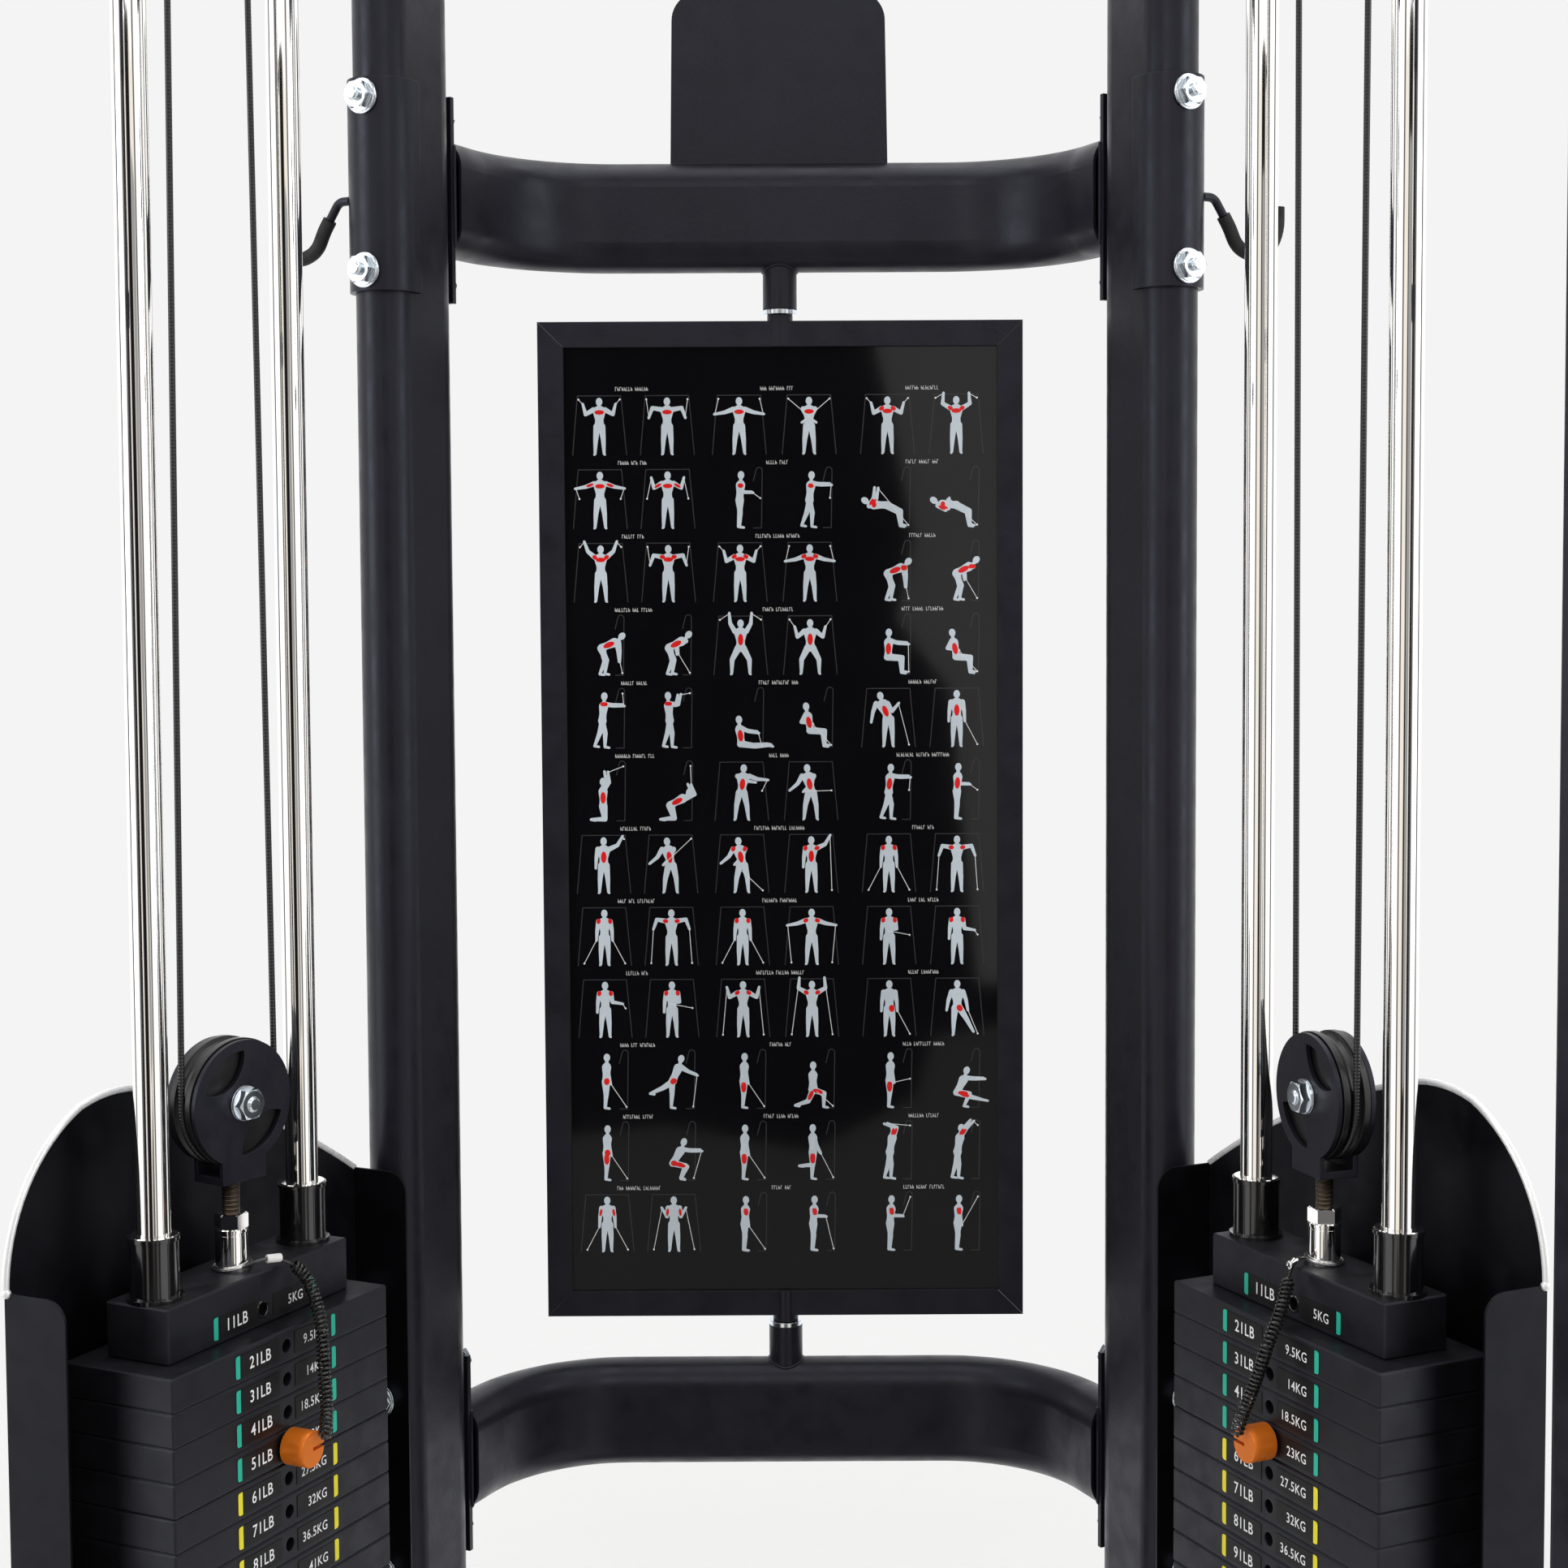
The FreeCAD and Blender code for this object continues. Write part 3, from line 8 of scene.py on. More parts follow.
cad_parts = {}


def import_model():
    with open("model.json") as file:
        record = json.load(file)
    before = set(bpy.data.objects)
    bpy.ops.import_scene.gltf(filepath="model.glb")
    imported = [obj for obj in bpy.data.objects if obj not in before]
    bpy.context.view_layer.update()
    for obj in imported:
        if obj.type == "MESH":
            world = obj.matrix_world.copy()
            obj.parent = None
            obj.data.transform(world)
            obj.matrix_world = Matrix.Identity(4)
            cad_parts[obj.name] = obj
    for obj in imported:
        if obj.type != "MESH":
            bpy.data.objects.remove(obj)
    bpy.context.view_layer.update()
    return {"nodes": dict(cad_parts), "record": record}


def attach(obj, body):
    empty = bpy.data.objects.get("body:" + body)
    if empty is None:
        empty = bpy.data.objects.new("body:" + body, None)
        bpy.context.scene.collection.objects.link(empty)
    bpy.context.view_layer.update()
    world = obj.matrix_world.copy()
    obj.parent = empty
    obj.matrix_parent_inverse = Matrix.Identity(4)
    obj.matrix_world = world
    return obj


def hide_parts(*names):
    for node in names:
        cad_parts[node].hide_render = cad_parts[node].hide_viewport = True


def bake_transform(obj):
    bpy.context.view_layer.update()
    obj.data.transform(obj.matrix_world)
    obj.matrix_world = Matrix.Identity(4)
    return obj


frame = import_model()

# Cable crossover machine: the looks around the CAD frame, in metres.
# Each side has its own plan axes: t runs back along the side, q outward from the plates' label faces.

CORNER = (0.428, -0.1436)
SPLAY = math.radians(64.9)
HANDS = ("left", "right")


def side_matrix(hand):
    """From a side's t, q, z to the row frame. The right side is the mirror image."""
    c, s = math.cos(SPLAY), math.sin(SPLAY)
    m = Matrix(((c, -s, 0, -CORNER[0]), (s, c, 0, CORNER[1]), (0, 0, 1, 0), (0, 0, 0, 1)))
    return m if hand == "left" else Matrix.Scale(-1, 4, (1, 0, 0)) @ m


SIDE = {hand: side_matrix(hand) for hand in HANDS}

# Places in side axes, as the CAD has them
STEM, STACK_Q, CABLE_Q, FRAME_Q = 0.130, 0.050, 0.052, 0.0935
STACK_TOP, PITCH, PLATE = 0.614, 0.0256, 0.0254
HEAD_Q, HEAD_TALL, HEAD_HOLE = 0.022, 0.0416, 0.0127
HEAD_TOP = STACK_TOP + HEAD_TALL
PLATES, SELECTED = 19, 4
TURN = {"left": math.radians(-9.0), "right": math.radians(8.0)}
HUB_Z, HUB_PITCH = 0.785, 0.0465
NEAR_LEG, FAR_LEG = (0.090, 1.892), (0.176, 1.942)
RUN_T, FOOT_Z, HIGH_Z = -0.224, 0.148, 1.942
CARRIAGE_Z, SWIVEL_PITCH, LUG = 1.650, 0.032, 0.050
HANG_T = RUN_T - 2 * SWIVEL_PITCH
BALL_Z, EYE_Z, GRIP_Z = 1.586, 1.560, 1.410
CABLE_RADIUS = 0.0024
BAR_Y, BAR_HALF, BAR_DEEP = 0.468, 0.0254, 0.0508
UPPER_BAR, LOWER_BAR = 1.523, 0.381
PLATE_FACE, PLATE_HALF, SOCKET_RADIUS = 0.495, 0.018, 0.016


# ---------------------------------------------------------------- camera

def look():
    """Camera at the photograph's viewing angle."""
    data = bpy.data.cameras.new("camera")
    data.lens = 54.97
    data.sensor_width = 36.0
    data.shift_x = -0.017
    data.shift_y = -0.031
    camera = bpy.data.objects.new("camera", data)
    camera.location = (0.027, -1.8126, 1.165)
    camera.rotation_euler = (math.radians(90 - 3.27), 0, 0)
    camera.rotation_euler.rotate_axis("Z", math.radians(-0.3))
    bpy.context.scene.collection.objects.link(camera)
    bpy.context.scene.camera = camera


look()


# ---------------------------------------------------------------- materials

def settle(node, **inputs):
    """Set a node's inputs; an underscore stands for the space in an input's name."""
    for name, value in inputs.items():
        node.inputs[name.replace("_", " ")].default_value = value
    return node


def graph(name, **inputs):
    """A new material with its nodes, its links and its shader."""
    mat = bpy.data.materials.new(name)
    mat.use_nodes = True
    nodes, links = mat.node_tree.nodes, mat.node_tree.links
    return mat, nodes, links, settle(nodes["Principled BSDF"], **inputs)


def noise(nodes, links, scale, detail=3.0, stretch=None):
    """Noise over the piece's own place, in cycles per metre, stretched along an axis if asked."""
    where = nodes.new("ShaderNodeTexCoord").outputs["Object"]
    if stretch:
        mapping = settle(nodes.new("ShaderNodeMapping"), Scale=stretch)
        links.new(where, mapping.inputs["Vector"])
        where = mapping.outputs["Vector"]
    texture = settle(nodes.new("ShaderNodeTexNoise"), Scale=scale, Detail=detail)
    links.new(where, texture.inputs["Vector"])
    return texture.outputs["Fac"]


def ranged(nodes, links, source, low, high, start=0.3, end=0.7):
    """A value carried smoothly from one range to another."""
    mapped = nodes.new("ShaderNodeMapRange")
    mapped.interpolation_type = "SMOOTHSTEP"
    settle(mapped, From_Min=start, From_Max=end, To_Min=low, To_Max=high)
    links.new(source, mapped.inputs["Value"])
    return mapped.outputs["Result"]


def two_tone(nodes, links, shader, factor, low, high):
    """Base colour between two colours."""
    mix = nodes.new("ShaderNodeMix")
    mix.data_type = "RGBA"
    settle(mix, A=(*low, 1), B=(*high, 1))
    links.new(factor, mix.inputs["Factor"])
    links.new(mix.outputs["Result"], shader.inputs["Base Color"])


def bump(nodes, links, shader, height, depth, after=None):
    """Relief in the shader's normal, on top of an earlier one if given."""
    node = settle(nodes.new("ShaderNodeBump"), Distance=depth, Strength=1.0)
    links.new(height, node.inputs["Height"])
    if after:
        links.new(after, node.inputs["Normal"])
    links.new(node.outputs["Normal"], shader.inputs["Normal"])
    return node.outputs["Normal"]


def surface(name, color, rough, metal=0.0, coat=0.0, grain=None, wave=None, vary=0.15, streak=None,
            gloss=0.5, edge=0.0, sheen=None):
    """A finish: colour and roughness that drift over the piece, a fine grain, and softly broken edges."""
    mat, nodes, links, shader = graph(name, Metallic=metal, Coat_Weight=coat, Coat_Roughness=0.06,
                                      Specular_IOR_Level=gloss)
    if sheen:
        settle(shader, Specular_Tint=(*sheen, 1))
    drift = ranged(nodes, links, noise(nodes, links, 14.0, 4.0), 0, 1)
    two_tone(nodes, links, shader, drift, [c * (1 - vary) for c in color],
             [min(1, c * (1 + vary)) for c in color])
    smudge = noise(nodes, links, 45.0, 5.0, streak)
    links.new(ranged(nodes, links, smudge, rough * 0.85, rough * 1.2), shader.inputs["Roughness"])
    relief = None
    if edge:
        corner = nodes.new("ShaderNodeBevel")
        corner.samples = 4
        settle(corner, Radius=edge)
        relief = corner.outputs["Normal"]
        links.new(relief, shader.inputs["Normal"])
    if wave:
        relief = bump(nodes, links, shader, noise(nodes, links, wave[0], 2.0), wave[1], relief)
    if grain:
        bump(nodes, links, shader, noise(nodes, links, grain[0], 2.0), grain[1], relief)
    return mat


def ridges(nodes, links, direction, scale, distortion=0.0):
    """Bands across one direction of the piece."""
    wave = settle(nodes.new("ShaderNodeTexWave"), Scale=scale, Distortion=distortion)
    wave.bands_direction = direction
    links.new(nodes.new("ShaderNodeTexCoord").outputs["Object"], wave.inputs["Vector"])
    return wave.outputs["Fac"]


def bands(name, color, rough, across, depth, metal=0.0):
    """A finish with fine ridges across Z: a thread, or a lay of wire, its grooves painted darker as painted
    shade.
    """
    mat, nodes, links, shader = graph(name, Metallic=metal, Roughness=rough)
    height = ridges(nodes, links, "Z", across, 0.4)
    # Grooves painted darker than the crests: painted shade.
    two_tone(nodes, links, shader, height, [c * 0.6 for c in color], color)
    bump(nodes, links, shader, height, depth)
    return mat


def webbing():
    """Woven nylon: ribs one way and picks the other, the low spots of the weave painted darker as painted
    shade.
    """
    mat, nodes, links, shader = graph("webbing", Roughness=0.85, Sheen_Weight=0.4)
    product = nodes.new("ShaderNodeMath")
    product.operation = "MULTIPLY"
    for k, (direction, scale) in enumerate((("Z", 330.0), ("DIAGONAL", 260.0))):
        links.new(ridges(nodes, links, direction, scale), product.inputs[k])
    # Low spots of the weave painted darker than the raised threads: painted shade.
    two_tone(nodes, links, shader, product.outputs[0], (0.012, 0.012, 0.013), (0.045, 0.045, 0.05))
    bump(nodes, links, shader, product.outputs[0], 0.0006)
    return mat


BLUISH = (0.80, 0.82, 1.0)
POWDER = surface("powder_coat", (0.0085, 0.0085, 0.0130), 0.37, grain=(1900, 0.00004), wave=(260, 0.00012),
                 edge=0.0012, gloss=0.36, sheen=BLUISH)
SHEET = surface("sheet_black", (0.0026, 0.0026, 0.0036), 0.42, grain=(1500, 0.00003), gloss=0.25, edge=0.0007,
                sheen=BLUISH)
PLATE_BLACK = surface("plate_black", (0.0058, 0.0058, 0.0074), 0.45, grain=(1100, 0.00009), vary=0.22,
                      edge=0.0015, sheen=BLUISH)
LABEL = surface("label_black", (0.0032, 0.0032, 0.0036), 0.45, grain=(2500, 0.00001), gloss=0.35)
CHROME = surface("chrome", (0.95, 0.935, 0.91), 0.05, metal=1.0, streak=(1, 1, 0.05), vary=0.02)
ZINC = surface("zinc", (0.74, 0.80, 0.86), 0.2, metal=1.0, grain=(900, 0.00002), vary=0.1, edge=0.0006)
GLOSS = surface("gloss_black", (0.004, 0.004, 0.0048), 0.16, coat=0.8, vary=0.1, edge=0.0006)
NYLON = surface("nylon_black", (0.0060, 0.0060, 0.0072), 0.33, grain=(700, 0.00003), edge=0.0008)
RUBBER = surface("rubber", (0.010, 0.010, 0.011), 0.72, grain=(1300, 0.00008), edge=0.001)
CABLE = bands("cable_coat", (0.016, 0.016, 0.017), 0.3, 120.0, 0.00025)
CORD = surface("cord_black", (0.008, 0.008, 0.008), 0.2, coat=0.4)
ORANGE = surface("orange_anodised", (0.88, 0.21, 0.012), 0.34, metal=0.35, grain=(1600, 0.00003), vary=0.06)
ACRYLIC = surface("chart_acrylic", (0.0035, 0.0035, 0.0042), 0.045, coat=1.0, vary=0.1)
INK_FIGURE = surface("ink_figure", (0.62, 0.70, 0.77), 0.25, coat=0.6, vary=0.05)
INK_RED = surface("ink_red", (0.80, 0.008, 0.008), 0.25, coat=0.6, vary=0.05)
INK_LINE = surface("ink_line", (0.84, 0.86, 0.88), 0.25, coat=0.6, vary=0.05)
INK_FAINT = surface("ink_faint", (0.032, 0.032, 0.036), 0.2, coat=0.6, vary=0.05)
TEXT_WHITE = surface("text_white", (0.90, 0.91, 0.92), 0.5, vary=0.04)
TEAL = surface("label_teal", (0.018, 0.47, 0.33), 0.5, vary=0.06)
YELLOW = surface("label_yellow", (0.86, 0.76, 0.03), 0.5, vary=0.06)
STUD = bands("stud_steel", (0.13, 0.10, 0.075), 0.42, 95.0, 0.0004, metal=0.9)
STEEL = surface("spring_steel", (0.55, 0.55, 0.55), 0.28, metal=1.0, grain=(700, 0.00003))
CRIMP = surface("crimp_white", (0.82, 0.82, 0.80), 0.4, vary=0.04)
# Near-white colour of the shroud's edge trim: a painted highlight standing in for the glint along the dark
# trim.
TRIM_PAINTED_GLINT = surface("edge_trim_painted_glint", (0.93, 0.94, 0.95), 0.26, metal=0.3, vary=0.04)
WEBBING = webbing()
FOAM = surface("grip_foam", (0.016, 0.016, 0.017), 0.8, grain=(2200, 0.0002))

NODE_MATERIAL = {
    "rubber": RUBBER, "sheet_black": SHEET, "plate_black": PLATE_BLACK, "chrome": CHROME,
    "gloss_black": GLOSS, "chart_acrylic": ACRYLIC, "zinc": ZINC, "cable_coat": CABLE,
    "orange_anodised": ORANGE, "webbing": WEBBING, "nylon_black": NYLON, "powder_coat": POWDER,
}


# ---------------------------------------------------------------- mesh helpers

SHARP = math.radians(32.0)


def quads(low, high, count):
    """Faces between two rings of points, from their first points' places."""
    return [(low + k, low + (k + 1) % count, high + (k + 1) % count, high + k) for k in range(count)]


def ends(low, high, count):
    """The two faces that close a run of rings, the low one turned over."""
    return [tuple(reversed(range(low, low + count))), tuple(range(high, high + count))]


def tube(path, radius, sides=12, closed=False):
    """Points and faces of a tube along a path, its rings carried on without twisting. A radius may vary."""
    path = [Vector(p) for p in path]
    count = len(path)
    radii = radius if hasattr(radius, "__len__") else [radius] * count
    points, faces = [], []
    normal = None
    for i, p in enumerate(path):
        before = path[i - 1 if i or closed else 0]
        after = path[(i + 1) % count if closed or i < count - 1 else i]
        ahead = (after - before).normalized()
        if normal is None:
            normal = ahead.orthogonal().normalized()
        normal = (normal - ahead * normal.dot(ahead)).normalized()
        across = ahead.cross(normal)
        for k in range(sides):
            a = 2 * math.pi * k / sides
            points.append(p + (normal * math.cos(a) + across * math.sin(a)) * radii[i])
    for i in range(count if closed else count - 1):
        faces += quads(i * sides, (i + 1) % count * sides, sides)
    if not closed:
        faces += ends(0, (count - 1) * sides, sides)
    return points, faces


def lathe(profile, sides=32):
    """A solid turned about Z: (radius, height) from the bottom's middle to the top's, or a closed ring."""
    points, faces = [], []
    rows = []
    for radius, height in profile:
        if radius < 1e-7:
            rows.append([len(points)])
            points.append(Vector((0, 0, height)))
            continue
        rows.append(list(range(len(points), len(points) + sides)))
        angles = [2 * math.pi * k / sides for k in range(sides)]
        points += [Vector((radius * math.cos(a), radius * math.sin(a), height)) for a in angles]
    pairs = list(zip(rows, rows[1:]))
    if len(rows[0]) > 1 and len(rows[-1]) > 1:
        pairs.append((rows[-1], rows[0]))
    for low, high in pairs:
        for k in range(sides):
            n = (k + 1) % sides
            ring = [low[k % len(low)], low[n % len(low)], high[n % len(high)], high[k % len(high)]]
            faces.append(tuple(dict.fromkeys(ring)))
    return points, faces


def half_round(radius, count):
    """Profile of a ball, from its lowest point to its highest."""
    angles = np.linspace(-math.pi / 2, math.pi / 2, count)[1:-1]
    return [(0, -radius), *[(radius * math.cos(a), radius * math.sin(a)) for a in angles], (0, radius)]


def pill(end, middle, edge, long):
    """Profile of a pin with its ends chamfered."""
    return [(0, 0), (end, 0), (middle, edge), (middle, long - edge), (end, long), (0, long)]


def slab(outline, low, high):
    """A flat plate from its outline in x and y."""
    n = len(outline)
    points = [Vector((x, y, z)) for z in (low, high) for x, y in outline]
    return points, ends(0, n, n) + quads(0, n, n)


def hex_nut(radius, tall):
    """Hexagon with the corners turned off at its top, about Z."""
    flat = radius * math.cos(math.pi / 6)
    sides = 36
    rows = [[], [], []]
    for k in range(sides):
        a = 2 * math.pi * k / sides
        from_corner = abs((math.degrees(a) + 30) % 60 - 30)
        out = flat / math.cos(math.radians(30 - from_corner))
        drop = (out - flat) * 0.55
        for row, r, z in zip(rows, (out, out, flat * 0.97), (0.0, tall - drop - 0.0003, tall)):
            row.append(Vector((r * math.cos(a), r * math.sin(a), z)))
    faces = ends(0, 2 * sides, sides) + quads(0, sides, sides) + quads(sides, 2 * sides, sides)
    return [p for row in rows for p in row], faces


def moved(part, matrix):
    """A part carried by a matrix, its faces turned over by a mirror."""
    points, faces = part
    points = [matrix @ Vector(p) for p in points]
    if matrix.determinant() < 0:
        faces = [tuple(reversed(f)) for f in faces]
    return points, faces


def along(origin, direction, up=(0, 0, 1)):
    """Matrix that stands a Z-built part at a point, along a direction."""
    z = Vector(direction).normalized()
    x = Vector(up).cross(z)
    x = x.normalized() if x.length > 1e-6 else Vector((1, 0, 0))
    y = z.cross(x)
    m = Matrix((x, y, z)).transposed().to_4x4()
    m.translation = Vector(origin)
    return m


def make(name, parts, materials, body, hand=None):
    """One piece from (points, faces) parts. A part's third item, if it has one, is its material's place."""
    matrix = SIDE[hand] if hand else Matrix.Identity(4)
    points, faces, kinds = [], [], []
    for part in parts:
        base = len(points)
        p, f = moved(part[:2], matrix)
        points += p
        faces += [tuple(base + i for i in face) for face in f]
        kinds += [part[2] if len(part) > 2 else 0] * len(f)
    mesh = bpy.data.meshes.new(name)
    mesh.from_pydata([tuple(p) for p in points], [], faces)
    for material in materials:
        mesh.materials.append(material)
    mesh.polygons.foreach_set("material_index", kinds)
    mesh.shade_smooth()
    mesh.set_sharp_from_angle(angle=SHARP)
    mesh.update()
    piece = bpy.data.objects.new(name, mesh)
    bpy.context.scene.collection.objects.link(piece)
    if body:
        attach(piece, body)
    return piece


def run_lengths(path):
    """Distance from a path's start to each of its points."""
    return np.cumsum([0.0] + [(b - a).length for a, b in zip(path, path[1:])])


def place_on(path, lengths, at):
    """The place at a distance along a path, and the direction there."""
    k = min(int(np.searchsorted(lengths, at, side="right")) - 1, len(path) - 2)
    ahead = (path[k + 1] - path[k]).normalized()
    return path[k] + ahead * (at - lengths[k]), ahead


# ---------------------------------------------------------------- lanyards

# Each lanyard's route in side axes: from the key ring to the knob, with the coil from one of its points on
LANYARD = {
    "left": [(0.124, 0.035, 0.659), (0.134, 0.029, 0.663), (0.146, 0.023, 0.662), (0.157, 0.015, 0.657),
             (0.164, 0.006, 0.645), (0.163, -0.003, 0.629), (0.156, -0.014, 0.608), (0.151, -0.018, 0.586),
             (0.148, -0.022, 0.564), (0.143, -0.027, 0.546), (0.133, -0.031, 0.533)],
    "right": [(0.134, 0.035, 0.660), (0.131, 0.028, 0.662), (0.128, 0.020, 0.660), (0.124, 0.013, 0.651),
              (0.119, 0.006, 0.638), (0.115, -0.003, 0.624), (0.114, -0.014, 0.604), (0.119, -0.018, 0.583),
              (0.125, -0.022, 0.563), (0.129, -0.027, 0.546), (0.129, -0.031, 0.533)],
}
COIL_POINT, TURN_POINTS = 3, 16
WIRE, COIL_RADIUS, COIL_PITCH = 0.0025, 0.0041, 0.00345


def route_line(route):
    """Points read along the smooth curve through a route."""
    curve = bpy.data.curves.new("route", "CURVE")
    curve.dimensions = "3D"
    curve.resolution_u = 24
    spline = curve.splines.new("NURBS")
    spline.points.add(len(route) - 1)
    for point, place in zip(spline.points, route):
        point.co = (*place, 1)
    spline.order_u = 3
    spline.use_endpoint_u = True
    holder = bpy.data.objects.new("route", curve)
    mesh = bpy.data.meshes.new_from_object(holder)
    line = [v.co.copy() for v in mesh.vertices]
    bpy.data.objects.remove(holder)
    return line


def curly(line, start):
    """The lead, and then the helix round the line, from the place where the coil starts."""
    first = min(range(len(line)), key=lambda i: (line[i] - start).length)
    lead, core = line[:first], line[first:]
    lengths = run_lengths(core)
    turns = lengths[-1] / COIL_PITCH
    steps = round(turns * TURN_POINTS)
    path = list(lead)
    normal = None
    for step in range(steps + 1):
        share = step / steps
        place, ahead = place_on(core, lengths, share * lengths[-1])
        if normal is None:
            normal = ahead.orthogonal().normalized()
        normal = (normal - ahead * normal.dot(ahead)).normalized()
        angle = 2 * math.pi * turns * share
        out = COIL_RADIUS * min(1.0, share * turns / 1.2, (1 - share) * turns / 0.8 + 0.25)
        path.append(place + (normal * math.cos(angle) + ahead.cross(normal) * math.sin(angle)) * out)
    return path


def key_ring(t, q, z, radius, wire):
    """Two turns of a split ring, lying round the stem's boss."""
    path = []
    for k in range(97):
        a = 2 * math.pi * k / 48
        tilt = 0.0012 * math.cos(a + 0.8)
        path.append((t + radius * math.cos(a), q + radius * math.sin(a), z + tilt + wire * 1.6 * k / 96))
    return tube(path, wire, 10)


def lanyard(hand):
    """Curly lanyard from the key ring on the boss to the knob, with its crimp or its clip."""
    route = [SIDE[hand] @ Vector(p) for p in LANYARD[hand]]
    coil_start = route[COIL_POINT]
    path = curly(route_line(route), coil_start)
    piece = make("lanyard_cord_" + hand, [tube(path, WIRE / 2, 10)], [CORD], None)
    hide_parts("lanyard_" + hand)
    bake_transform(piece)
    ring = make("key_ring_" + hand, [key_ring(STEM, STACK_Q, HEAD_TOP + 0.0016, 0.0146, 0.0010)], [STEEL],
                "stack_" + hand, hand)
    second, third = [Vector(p) for p in LANYARD[hand][1:3]]
    ahead = (third - second).normalized()
    if hand == "left":
        start = third - ahead * 0.006
        loop = [(0.1310, 0.0352, HEAD_TOP + 0.004), (0.138, 0.0290, HEAD_TOP + 0.006), tuple(start)]
        sleeve = lathe(pill(0.0030, 0.0034, 0.001, 0.012), 12)
        parts = [(*moved(sleeve, along(start, ahead)), 0), (*tube(loop, 0.0008, 8), 1)]
        fitting = make("lanyard_crimp_left", parts, [CRIMP, CORD], "stack_left", hand)
    else:
        start = third - ahead * 0.004
        hook = [start + ahead * 0.010 + Vector((0.0026 * math.cos(a), 0, 0.0026 * math.sin(a)))
                for a in np.linspace(-0.4, 5.4, 20)]
        barrel = lathe([(0, 0), (0.0022, 0.0005), (0.0030, 0.003), (0.0016, 0.008), (0, 0.009)], 16)
        parts = [moved(barrel, along(start, ahead)), tube(hook, 0.0008, 8)]
        fitting = make("lanyard_clip_right", parts, [CHROME], "stack_right", hand)


for each in HANDS:
    lanyard(each)


# ---------------------------------------------------------------- CAD nodes

SLOT_OF = {part["node"]: part["material_slot"] for part in frame["record"]["subparts"]}

for node_name, cad_node in frame["nodes"].items():
    cad_node.data.materials.clear()
    cad_node.data.materials.append(NODE_MATERIAL[SLOT_OF[node_name]])


# ---------------------------------------------------------------- plate labels

LABEL_GAP = 0.00025
BAR_AT, BAR_WIDE, BAR_TALL, BAR_ROUND = 0.058, 0.005, 0.017, 0.002
STICKER_END, HOLE_CLEAR = 0.055, 0.0095
SQUEEZE, LAST_TEAL = 0.90, 4


def printed(text, height, bold, align, at):
    """Flat text in x and y, its capitals a set height, from the place at or up to it."""
    curve = bpy.data.curves.new("print", "FONT")
    curve.body = text
    curve.size = 1.0
    curve.offset = bold
    curve.resolution_u = 3
    curve.space_character = 1.08
    holder = bpy.data.objects.new("print", curve)
    mesh = bpy.data.meshes.new_from_object(holder)
    points = [v.co.copy() for v in mesh.vertices]
    faces = [tuple(f.vertices) for f in mesh.polygons]
    bpy.data.objects.remove(holder)
    low, high = min(p.y for p in points), max(p.y for p in points)
    tall = height / (high - low)
    start = min(p.x for p in points) if align == "left" else max(p.x for p in points)
    points = [Vector((at[0] + (p.x - start) * tall * SQUEEZE, at[1] + (p.y - (low + high) / 2) * tall, 0))
              for p in points]
    return points, faces


def rounded(x0, x1, y0, y1, radius=0.0, corners=(0, 0, 0, 0)):
    """Outline of a rectangle, each corner round or not, from the lower left one round."""
    outline = []
    spots = ((x0, y0, 180), (x1, y0, 270), (x1, y1, 0), (x0, y1, 90))
    for (x, y, from_angle), is_round in zip(spots, corners):
        if not is_round:
            outline.append((x, y))
            continue
        cx = x + math.copysign(radius, (x0 + x1) / 2 - x)
        cy = y + math.copysign(radius, (y0 + y1) / 2 - y)
        for k in range(5):
            a = math.radians(from_angle + 22.5 * k)
            outline.append((cx + radius * math.cos(a), cy + radius * math.sin(a)))
    return outline


def facing(hand, t, q, z):
    """Matrix of a label: its x runs to the reader's right, its y up, its z out of the face."""
    sign = 1 if hand == "left" else -1
    local = Matrix(((sign, 0, 0, t), (0, 0, -1, q), (0, 1, 0, z), (0, 0, 0, 1)))
    return SIDE[hand] @ local


def plate_label(pounds, kilograms):
    """Sticker, bars and figures of one plate, about the middle of its face."""
    half_tall, half_wide = BAR_TALL / 2, BAR_WIDE / 2
    label = [(*slab(rounded(low, high, -half_tall, half_tall), 0, 0.0001), 0)
             for low, high in ((-STICKER_END, -HOLE_CLEAR), (HOLE_CLEAR, STICKER_END))]
    for at, corners in ((-BAR_AT, (1, 0, 0, 1)), (BAR_AT, (0, 1, 1, 0))):
        outline = rounded(at - half_wide, at + half_wide, -half_tall, half_tall, BAR_ROUND, corners)
        label.append((*slab(outline, 0, 0.00015), 1))
    figures = [printed(f"{pounds}LB", 0.0092, 0.008, "left", (-0.0445, 0.0)),
               printed(f"{kilograms:g}KG", 0.0076, 0.006, "right", (0.0460, -0.0004))]
    lifted = Matrix.Translation((0, 0, 0.0002))
    return label + [(*moved(part, lifted), 2) for part in figures]


def labels(hand):
    """Labels of the head plate and the plates, in one piece for those that rise and one for the rest."""
    groups = {}
    for n in range(PLATES + 1):
        middle = STACK_TOP - PITCH * (n - 1) - PLATE / 2 if n else STACK_TOP + HEAD_HOLE
        place = facing(hand, STEM if n else STEM + 0.003, (0.0 if n else HEAD_Q) - LABEL_GAP, middle)
        kind = ("raised" if n <= SELECTED else "rest", "teal" if n <= LAST_TEAL else "yellow")
        for part in plate_label(11 + 10 * n, 5 + 4.5 * n):
            groups.setdefault(kind, []).append((*moved(part[:2], place), part[2]))
    for (state, tint), parts in groups.items():
        make(f"labels_{state}_{tint}_{hand}", parts, [LABEL, TEAL if tint == "teal" else YELLOW, TEXT_WHITE],
             "stack_" + hand if state == "raised" else "root")


for each in HANDS:
    labels(each)


# ---------------------------------------------------------------- exercise chart

def even(arm, leg):
    """An upright pose with both sides alike, from the right side's limbs."""
    return (0, (-arm[0], -arm[1]), arm, (-leg[0], -leg[1]), leg)


